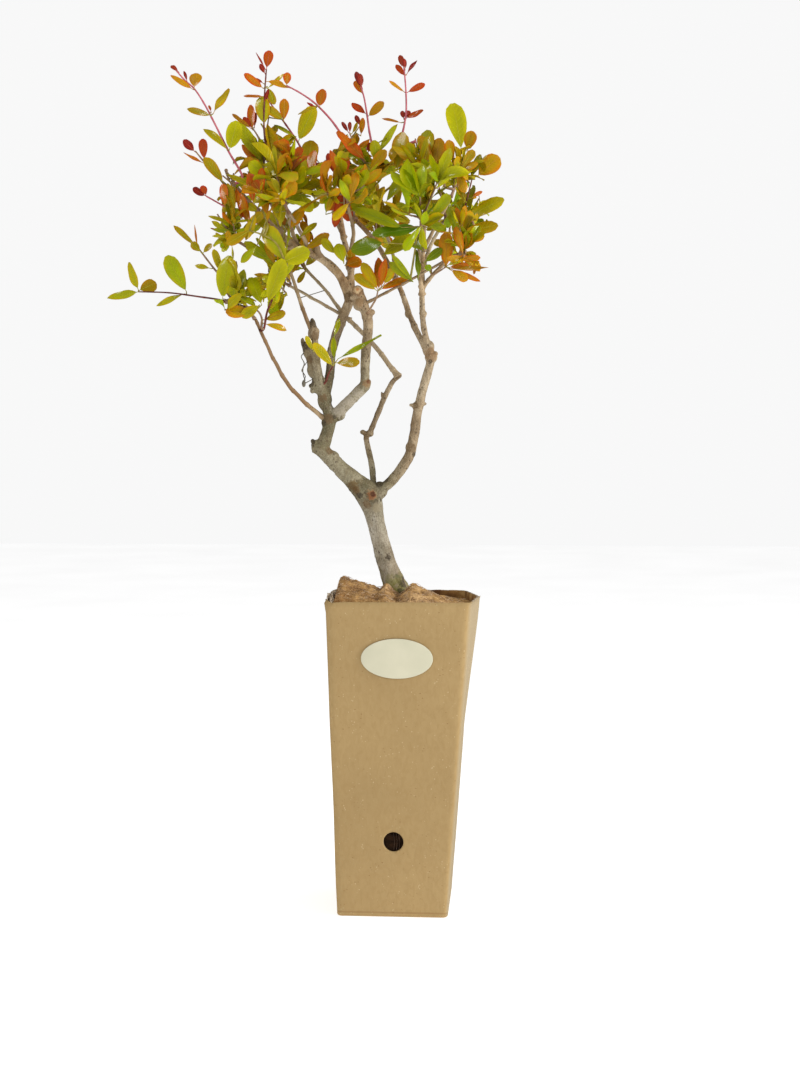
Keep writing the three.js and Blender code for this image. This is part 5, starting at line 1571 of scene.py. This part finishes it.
class Growth:
    """A mass as it grows: its twigs with their leaves. Its numbers are drawn in the source's order."""

    def __init__(self, name):
        mass = MASSES[name]
        self.name, self.draw, self.twigs = name, generator(mass["seed"]), []
        self.leaf_length = mass.get("leaf", LEAF_LENGTH)
        self.pair_step = mass.get("pairs", PAIR_STEP)
        for line, foot, tip in shoots[name]:
            self.add_twig(line, foot, tip, 0)

    def jitter(self, size):
        return size * (2 * self.draw() - 1)

    def lifted(self, along, tangent):
        """The direction that a leaf faces, rolled a little about its own length."""
        up = tangent - along * np.dot(tangent, along)
        if np.dot(up, up) < 0.01:
            up = UP - along * along[2]
        return turned(unit(up), along, self.jitter(LEAF_ROLL))

    def add_twig(self, line, foot, tip, level):
        last = tip - line.at(1)
        self.lifted(unit(last), UP)  # the source rolls its end leaf here
        turn = self.draw() * math.pi
        twig = Twig(line, foot, level, last)
        self.twigs.append(twig)
        self.add_pairs(twig, turn)
        if level == 0:
            self.add_side_twigs(line, turn)

    def add_pairs(self, twig, turn):
        """Pairs of leaves up the twig, each a quarter turn on from the last."""
        line = twig.line
        at = BARE_SHARE * line.length if twig.level == 0 else SIDE_BARE_SHARE * self.pair_step
        pair = 0
        while at < line.length:
            tangent = line.heading(at / line.length)
            around = turn + pair * math.pi / 2 + self.jitter(LEAF_SWAY)
            across = turned(unit(np.cross(tangent, UP)), tangent, around)
            for way in (1, -1):
                angle = LEAF_ANGLE + self.jitter(LEAF_SWAY)
                along = tangent * math.cos(angle) + across * way * math.sin(angle)
                length = self.leaf_length * (1 + self.jitter(LEAF_SPREAD))
                twig.leaves.append((at / line.length, along, self.lifted(along, tangent), length))
            pair += 1
            at += self.pair_step

    def add_side_twigs(self, line, turn):
        """Side twigs up a main shoot, where there is room for them."""
        at = 0.5 * SIDE_TWIG_STEP
        while at < line.length - SIDE_TWIG_STEP:
            start, tangent = line.at(at / line.length), line.heading(at / line.length)
            around = turn + at / SIDE_TWIG_STEP * GOLDEN_ANGLE
            out = turned(unit(np.cross(tangent, UP)), tangent, around)
            direction = tangent * math.cos(SIDE_TWIG_ANGLE) + out * math.sin(SIDE_TWIG_ANGLE)
            end = start + direction * SIDE_TWIG_LENGTH * (1 + self.jitter(SIDE_TWIG_SPREAD))
            side = shoot_line(start, direction, end)
            if is_free(self.name, side.at(np.linspace(0, 1, 9)), 2 * TWIG_RADIUS):
                self.add_twig(side, TWIG_RADIUS, end + direction * self.leaf_length, 1)
            at += SIDE_TWIG_STEP


grown = {name: Growth(name).twigs for name in MASSES}


STEM_TINTS = ("brown", "green", "red", "pink")


LEAF_CLEARANCE = 0.5
WIDE_SHARE = 0.34  # of a leaf's length, above which its width makes it a wide one


def leaf_facts(dice, root, along, up, length, letter, width=None):
    """One leaf: its own outline, fold and bend come from the dice, in a fixed number of throws."""
    return dict(root=root, along=unit(along), up=up, length=length,
                width=width or length * dice.uniform(0.24, 0.4), letter=letter,
                shoulder=dice.uniform(0.85, 1.25), apex=dice.uniform(0.4, 0.8),
                fold=abs(dice.gauss(0, 0.5)), bend=dice.gauss(-0.55, 0.6),
                twist=dice.gauss(0, 0.5), wave=dice.uniform(0.01, 0.045),
                phase=dice.uniform(0, 6.28), own=dice.random())


def calmed(facts):
    """The leaf made straighter and flatter, as leaves that show singly are, and wide ones most of all."""
    wide = facts["width"] > WIDE_SHARE * facts["length"]
    calm = 0.45 if wide else 1
    return {**facts, "bend": 0.45 * calm * facts["bend"], "fold": 0.2 + 0.5 * calm * facts["fold"],
            "twist": 0.6 * calm * facts["twist"], "wave": calm * facts["wave"],
            "shoulder": 0.75 * facts["shoulder"], "apex": 0.5 if wide else 0.68}


class Foliage:
    """The leaves and stems of all masses, gathered by kind."""

    def __init__(self):
        self.leaves = []
        self.stems = Heap()
        self.joints = [limb.line.spaced(3) for limb in limbs.values()]

    def leaf(self, dice, root, along, up, length, letter, curl=1.0):
        """A leaf, kept where it lies in the crown, clear of the limbs, the sky gaps and the open boughs.
        Says whether it is."""
        facts = leaf_facts(dice, root, along, up, length, letter)
        facts["bend"] *= curl
        reach = root + facts["along"] * length * np.array([0.3, 0.65, 1.0])[:, None]
        if not in_crown(reach) or clearance(reach).min() < LEAF_CLEARANCE:
            return False
        if not in_outline(reach[1:]).all() or hides_bough(reach):
            return False
        self.leaves.append(facts)
        return True

    def tuft(self, dice, place, heading, count, length, letters):
        """A tuft of leaves on a short spur, each turned its own way."""
        side = unit(np.cross(heading, [0.3, 0.2, 0.93]))
        turn = dice.uniform(0, 6.28)
        for i in range(count):
            out = turned(side, heading, turn + i * GOLDEN_ANGLE + dice.uniform(-0.5, 0.5))
            lean = dice.uniform(0.15, 1.2)
            along = unit(heading * math.cos(lean) + out * math.sin(lean) + 0.25 * UP)
            up = turned(unit(heading - along * np.dot(heading, along)), along, dice.gauss(0, 0.6))
            start = place - heading * dice.uniform(0, 5)
            self.leaf(dice, start, along, up, length * dice.uniform(0.7, 1.12), dice.choice(letters))

    def stem(self, points, foot, tip, tint):
        """A stem through points, swollen a little where it sets off and at each node."""
        line = Line(points)
        points = line.spaced(3)
        reach = np.linspace(0, line.length, len(points))
        knots = 1 + 0.5 * np.exp(-reach / 2.5) + 0.16 * np.exp(-((reach % 17 - 8.5) / 1.5) ** 2)
        radii = np.linspace(foot, tip, len(points)) * knots
        add_tube(self.stems, points, radii, 6, STEM_TINTS.index(tint))
        self.joints.append(points)


# The boughs that show in front of the leaves, and the share of each that does.
OPEN_BOUGHS = {"upper_left_bough": 0.62, "right_outer_bough": 0.55, "upright_bough": 0.35}
OPEN_POINTS = np.vstack([limbs[name].line.at(np.linspace(0, share, 24))
                         for name, share in OPEN_BOUGHS.items()])
OPEN_GAP = 6

TWIG_SAMPLES = 24
FAR_BACK = 50  # a shoot that ends beyond it lies behind the crown
SPUR_SHARE = 0.42  # of the leaves, that have a small tuft in their axil
LEAST_KEPT = 0.12  # of a twig, below which it bears no stem and no tuft


def hides_bough(points):
    """Whether points would hide one of the open boughs from the camera."""
    apart = np.linalg.norm(seen_place(points)[:, None] - seen_place(OPEN_POINTS)[None], axis=-1)
    before = points[:, None, 1] < OPEN_POINTS[None, :, 1]
    return bool((before & (apart < OPEN_GAP)).any())


def tints_at(mass, share):
    """The letters to choose from, for a place between the foot and the tip of a mass."""
    tips, middle, inner = mass["tints"]
    return tips if share > 0.86 else middle if share > 0.5 else inner


def kept_share(twig):
    """The share of a twig that lies in the dense crown, from its foot."""
    shown = in_outline(twig.line.at(np.linspace(0, 1, TWIG_SAMPLES)))
    last = TWIG_SAMPLES - 1 if shown.all() else np.argmin(shown) - 1
    if twig.level == 0 and shown.any():
        last = np.nonzero(shown)[0][-1]
    return max(last, 0) / (TWIG_SAMPLES - 1)


def dress_far_end(foliage, mass, twig, dice):
    """A shoot's end behind the crown: its last stretch, and leaves that reach its tip."""
    tips, middle = mass["tints"][:2]
    kept, reach = kept_share(twig), np.linalg.norm(twig.last)
    end, along = twig.line.at(1), unit(twig.last)
    up = unit(UP - along * np.dot(UP, along))
    grew = foliage.leaf(dice, end, along, up, reach - STALK, dice.choice(tips), curl=0.2)
    for way in (-1, 1):
        swung = unit(turned(along, up, way * dice.uniform(0.5, 0.9)))
        length = reach * dice.uniform(0.6, 0.8)
        grew |= foliage.leaf(dice, end - 3 * along, swung, up, length, dice.choice(middle))
    if kept < 1 and grew:
        foliage.stem(twig.line.at(np.linspace(kept, 1, 12)), TIP_RADIUS * 1.2, TIP_RADIUS, "brown")


def dress_twig(foliage, mass, twig, dice):
    """A leafy twig: full-grown pairs along it, small tufts in their axils and one at its end."""
    kept = kept_share(twig)
    for share, along, up, length in twig.leaves:
        depth = 0.2 + 0.8 * share if twig.level == 0 else 0.5 + 0.45 * share
        letters = tints_at(mass, depth * dice.uniform(0.8, 1.15))
        letter = dice.choice(letters)
        size = 0.84 * length * dice.uniform(0.7, 1.05)
        place = twig.line.at(share)
        swung = unit(turned(along, up, dice.uniform(-0.5, 0.5)) + 0.35 * UP)
        rolled = turned(up, swung, dice.gauss(0, 0.5))
        spur = dice.random() < SPUR_SHARE
        if share <= kept:
            foliage.leaf(dice, place, swung, rolled, size, letter)
            if spur:
                heading = unit(swung + rolled * dice.uniform(-0.6, 0.6))
                foliage.tuft(dice, place + heading * 3, heading, 2, 0.85 * size, letters + letter)
    if kept < LEAST_KEPT:
        return
    end, heading = twig.line.at(kept), twig.line.heading(kept)
    foliage.tuft(dice, end, heading, 5, 0.78 * np.linalg.norm(twig.last), tints_at(mass, 1.0) + letters)
    line = twig.line.at(np.linspace(0, kept, TWIG_SAMPLES))
    foliage.stem(line, twig.foot, TIP_RADIUS, "brown" if twig.level == 0 else "green")


def joint_near(joints, x, z, depth):
    """The joint that shows nearest to (x, z) and lies about this deep."""
    apart = np.linalg.norm(seen_place(joints) - [x, z], axis=1)
    return joints[np.argmin(apart + 0.4 * np.abs(joints[:, 1] - depth))]


def spray_leaf(foliage, facts, depth, own, joints, dice):
    """A spray's leaf, which faces the front from the nearest joint of its own stem, or else of any."""
    letter, root_x, root_z, tip_x, tip_z, width = facts
    lean = dice.uniform(-11, 9)
    joint = joint_near(own, root_x, root_z, depth)
    if np.linalg.norm(seen_place(joint[None])[0] - [root_x, root_z]) > 6:
        joint = joint_near(joints, root_x, root_z, depth)
    deep = joint[1] + np.clip(depth - joint[1], -12, 12)
    root, tip = as_seen(root_x, root_z, deep), as_seen(tip_x, tip_z, deep + lean)
    along = unit(tip - root)
    front = turned(np.array([0.0, -1.0, 0.0]), UP, dice.uniform(-0.45, 0.45)) + [0, 0, 0.25]
    up = unit(front - along * np.dot(front, along))
    length = np.linalg.norm(tip - root) - STALK
    foliage.leaves.append(calmed(leaf_facts(dice, root, along, up, length, letter, width)))
    if np.linalg.norm(root - joint) > 1.5:
        add_tube(foliage.stems, np.linspace(joint, root, 5), np.linspace(0.75, 0.45, 5), 5, 1)


def dress_spray(foliage, facts, dice):
    """A leading spray: its stem sets off from the nearest twig and comes forward to the spray's depth."""
    depth, tint, stem, leaves = facts
    foot = joint_near(np.vstack(foliage.joints), *stem[0], depth)
    depths = foot[1] + (depth - foot[1]) * np.linspace(0.3, 1, len(stem))
    points = np.array([as_seen(x, z, deep) for (x, z), deep in zip(stem, depths)])
    if np.linalg.norm(foot - points[0]) > 1:
        points = np.vstack([foot, points])
    foliage.stem(spline(points, 8), 1.25, 0.7, tint)
    own, joints = foliage.joints[-1], np.vstack(foliage.joints)
    for leaf in leaves:
        spray_leaf(foliage, leaf, depth, own, joints, dice)


def dress_all():
    """The whole crown: the twigs that the rule grows, the leading sprays, and the far ends behind."""
    foliage = Foliage()
    for name, mass in MASSES.items():
        dice = random.Random(mass["seed"])
        for twig in grown[name]:
            dress_twig(foliage, mass, twig, dice)
    dice = random.Random(5)
    for facts in LEADING_SPRAYS.values():
        dress_spray(foliage, facts, dice)
    for name, mass in MASSES.items():
        dice = random.Random(mass["seed"])
        for twig in grown[name]:
            if twig.level == 0 and twig.line.at(1)[1] > FAR_BACK:
                dress_far_end(foliage, mass, twig, dice)
    return foliage


LEAF_ROWS = 9
LEAF_COLUMNS = 5
STALK = 2.0


def blade_halves(value, u, v):
    """Half the width of each leaf at each place: widest at a peak of its own, with a rippled edge."""
    shoulder, apex = value("shoulder"), value("apex")
    peak = shoulder / (shoulder + apex)
    profile = u ** shoulder * (1 - u) ** apex / (peak ** shoulder * (1 - peak) ** apex)
    ripple = 1 + 2 * value("wave") * np.sin(8 * u + value("phase") + 2.2 * np.sign(v)) * np.abs(v)
    return 0.5 * value("width") * profile * ripple


def blade_points(facts):
    """Leaves as grids: rows from root to tip, columns from edge to edge. Also their middle lines, the
    ways across and out of them, and the place of each point on its leaf."""
    def value(key):
        return np.array([fact[key] for fact in facts], float)[:, None, None]

    u = np.linspace(0.02, 0.99, LEAF_ROWS)[None, :, None]
    v = np.linspace(-1, 1, LEAF_COLUMNS)[None, None, :]
    length, bend, twist = value("length"), value("bend"), value("twist") * u
    bend = np.where(np.abs(bend) < 0.02, 0.02, bend)
    half = blade_halves(value, u, v)
    forward = STALK + length * np.sin(bend * u) / bend
    rise = length * (1 - np.cos(bend * u)) / bend
    across = half * v
    edge = value("wave") * length * np.sin(9 * u + value("phase")) * v * np.abs(v)
    fold = np.tan(np.minimum(value("fold"), 1.1))
    lift = np.abs(across) * fold - 0.3 * across ** 2 / np.maximum(half, 0.5) + edge
    root, along, up = (value(key) for key in ("root", "along", "up"))
    side = np.cross(up, along)
    slope = bend * u
    normal = np.cos(slope)[..., None] * up - np.sin(slope)[..., None] * along
    swing = np.cos(twist) * across - np.sin(twist) * lift
    raised = np.sin(twist) * across + np.cos(twist) * lift
    centre = root + forward[..., None] * along + rise[..., None] * up
    blades = centre + swing[..., None] * side + raised[..., None] * normal
    own = np.broadcast_to(value("own"), across.shape)
    places = np.stack([np.broadcast_to(u, across.shape), np.broadcast_to(v, across.shape), own], -1)
    return blades, centre[:, :, 0], side[:, 0], normal[:, :, 0], places


LEAF_SLOTS = {  # the colour of the midribs and stalks of each slot's leaves
    "leaves_red": (180, 70, 44), "leaves_orange": (190, 134, 36),
    "leaves_yellow_green": (178, 172, 34), "leaves_green": (134, 150, 28),
}


def leaf_nodes():
    """The record's foliage nodes by their slot."""
    nodes = {slot: [] for slot in LEAF_SLOTS}
    for entry in frame["record"]["subparts"]:
        if entry["material_slot"] in nodes:
            nodes[entry["material_slot"]].append(entry["node"])
    return nodes


def add_ribs(heap, facts, centre, side, normal, tint):
    """The stalk and midrib of each leaf, with three sides, thinner towards the tip."""
    thick = np.linspace(0.36, 0.1, LEAF_ROWS)[None, :, None]
    crest = centre + 0.35 * normal * thick
    left, right, below = crest + side * thick, crest - side * thick, centre - 1.3 * normal * thick
    faces = grid_faces(LEAF_ROWS + 1, 3, closed=True)
    for i, fact in enumerate(facts):
        foot = fact["root"] - 0.4 * fact["along"]
        across = 0.4 * side[i, 0]
        start = np.vstack([foot + across, foot - across, foot - 0.5 * normal[i, 0]])
        rows = np.stack([left[i], right[i], below[i]], axis=1)
        heap.add(np.vstack([start, rows.reshape(-1, 3)]), faces, tint=tint)


def make_leaves(foliage):
    """One piece of joined leaves for each of the record's leaf slots, with their ribs and stalks."""
    nodes = leaf_nodes()
    for slot, rib in LEAF_SLOTS.items():
        letters = [letter for letter, (owner, _, _) in TINTS.items() if owner == slot]
        facts = [fact for fact in foliage.leaves if fact["letter"] in letters]
        blades, centre, side, normal, places = blade_points(facts)
        heap = Heap()
        faces = grid_faces(LEAF_ROWS, LEAF_COLUMNS)
        for fact, blade in zip(facts, blades):
            heap.add(blade.reshape(-1, 3), faces, tint=letters.index(fact["letter"]))
        add_ribs(heap, facts, centre, side, normal, len(letters))
        materials = [leaf_material(letter) for letter in letters] + [rib_material(slot, rib)]
        made = heap.piece(slot, materials, PLANT_TURN)
        marks = np.zeros((heap.count, 3), np.float32)
        marks[:places.size // 3] = places.reshape(-1, 3)
        place = made.data.attributes.new("leaf_place", "FLOAT_VECTOR", "POINT")
        place.data.foreach_set("vector", marks.ravel())
        dressed(made, slot, *nodes[slot])


def make_foliage():
    """The twigs as one piece and the leaves as another for each slot."""
    foliage = dress_all()
    stems = foliage.stems.piece("twigs", [
        stem_material("twig_brown", (124, 92, 66), (156, 126, 96)),
        stem_material("twig_olive", (134, 118, 48), (160, 148, 64)),
        stem_material("twig_red", (92, 38, 30), (124, 58, 44)),
        stem_material("twig_pink", (170, 78, 88), (198, 108, 118)),
    ], PLANT_TURN)
    dressed(stems, "young_bark", *MASSES)
    make_leaves(foliage)


# ---------------------------------------------------------------- the object

torn = torn_material()
make_pot(board_material(), torn, inside_material())
# the root ball's nearly black coir is painted shade, so the drain hole shows dark
make_root_ball(coir_material("root_ball_dark", (14, 8, 4), (30, 18, 10), (52, 34, 20)))
make_torn_board(torn, stem_material("drain_strand", (50, 32, 20), (72, 48, 30)))
make_label(paper_material())
make_coir_bed(coir_material("coir_matted", (120, 82, 44), (168, 130, 80), (206, 170, 122)))
make_coir_strands([stem_material("strand_gold", (178, 142, 98), (198, 164, 120)),
                   stem_material("strand_brown", (142, 104, 66), (166, 130, 90)),
                   stem_material("strand_pale", (200, 168, 132), (214, 188, 156))])
make_old_wood(old_bark_material())
make_young_wood(young_bark_material())
make_dry_threads(stem_material("dry_thread", (98, 92, 78), (136, 128, 110)))
make_foliage()

# ---------------------------------------------------------------- floor, light and camera

CAMERA_DISTANCE = 1.6
CAMERA_HEIGHT = 0.4536
CAMERA_AZIMUTH = PLANT_TURN
CAMERA_PITCH = math.radians(1.0)
CAMERA_ASIDE = 0.004
CAMERA_RISE = -0.0525  # the shift that frames the plant above the picture's middle
LONG_SIDE = 36
LENS = 54.0
FLOOR_REACH = 6000
ROOM_LIGHT = 0.5
ROOM_SHOWN = 0.94
ROOM_GLOSS = 0.08  # what shining leaves mirror of the room, beside its lamps


def make_floor():
    """A pale floor that glows a little, so that it shows as white as the room."""
    shader = Shader("pale_floor", 0.9, 0.1)
    white = shader.ramp(shader.noise(3, 2), (0.3, (249, 249, 249)), (0.7, (253, 253, 253)))
    mirrored = shader.node("LightPath").outputs["Is Glossy Ray"]
    shown = shader.mix(mirrored, white, (40, 40, 40))
    shader.color(shown)
    shader.feed(shader.surface, {"Emission Color": shown, "Emission Strength": 0.5})
    signs = ((-1, -1), (1, -1), (1, 1), (-1, 1))
    corners = [(x * FLOOR_REACH, y * FLOOR_REACH, -0.5) for x, y in signs]
    heap = Heap()
    heap.add(np.array(corners, float), [(0, 1, 2, 3)])
    heap.piece("floor", [shader.material], smooth=False)


def area_light(name, location, aim, size, power):
    """A round lamp that faces its aim."""
    data = bpy.data.lights.new(name, "AREA")
    data.shape = "DISK"
    data.size = size
    data.energy = power
    light = bpy.data.objects.new(name, data)
    light.location = location
    light.rotation_euler = (Vector(aim) - Vector(location)).to_track_quat("-Z", "Y").to_euler()
    bpy.context.scene.collection.objects.link(light)


def make_camera():
    """The camera that shows the plant as the photo does."""
    data = bpy.data.cameras.new("camera")
    data.sensor_fit = "AUTO"
    data.sensor_width = LONG_SIDE
    data.lens = LENS
    data.shift_y = CAMERA_RISE
    camera = bpy.data.objects.new("camera", data)
    a, e = CAMERA_AZIMUTH, CAMERA_PITCH
    back = Vector((math.sin(a), -math.cos(a), 0))
    aside = Vector((math.cos(a), math.sin(a), 0))
    camera.location = back * CAMERA_DISTANCE + aside * CAMERA_ASIDE + Vector((0, 0, CAMERA_HEIGHT))
    look = -back * math.cos(e) - Vector((0, 0, math.sin(e)))
    camera.rotation_euler = look.to_track_quat("-Z", "Y").to_euler()
    bpy.context.scene.collection.objects.link(camera)
    bpy.context.scene.camera = camera


def make_room():
    """A white room that lights the plant less than it shows in the picture, as behind studio flags."""
    world = bpy.data.worlds.new("white_room")
    world.use_nodes = True
    tree = world.node_tree
    path = tree.nodes.new("ShaderNodeLightPath")
    lit = tree.nodes.new("ShaderNodeMapRange")
    lit.inputs["To Min"].default_value = ROOM_LIGHT
    lit.inputs["To Max"].default_value = ROOM_GLOSS
    tree.links.new(path.outputs["Is Glossy Ray"], lit.inputs["Value"])
    shown = tree.nodes.new("ShaderNodeMapRange")
    shown.inputs["To Max"].default_value = ROOM_SHOWN
    tree.links.new(lit.outputs["Result"], shown.inputs["To Min"])
    tree.links.new(path.outputs["Is Camera Ray"], shown.inputs["Value"])
    tree.nodes["Background"].inputs["Color"].default_value = (1, 1, 1, 1)
    tree.links.new(shown.outputs["Result"], tree.nodes["Background"].inputs["Strength"])
    bpy.context.scene.world = world
    bpy.context.scene.view_settings.view_transform = "Standard"


make_room()
make_floor()
area_light("key", (-1.0, -1.8, 2.0), (0, 0, 0.55), 0.8, 19)
area_light("side", (2.0, -0.4, 0.9), (0, 0, 0.45), 0.8, 38)
make_camera()
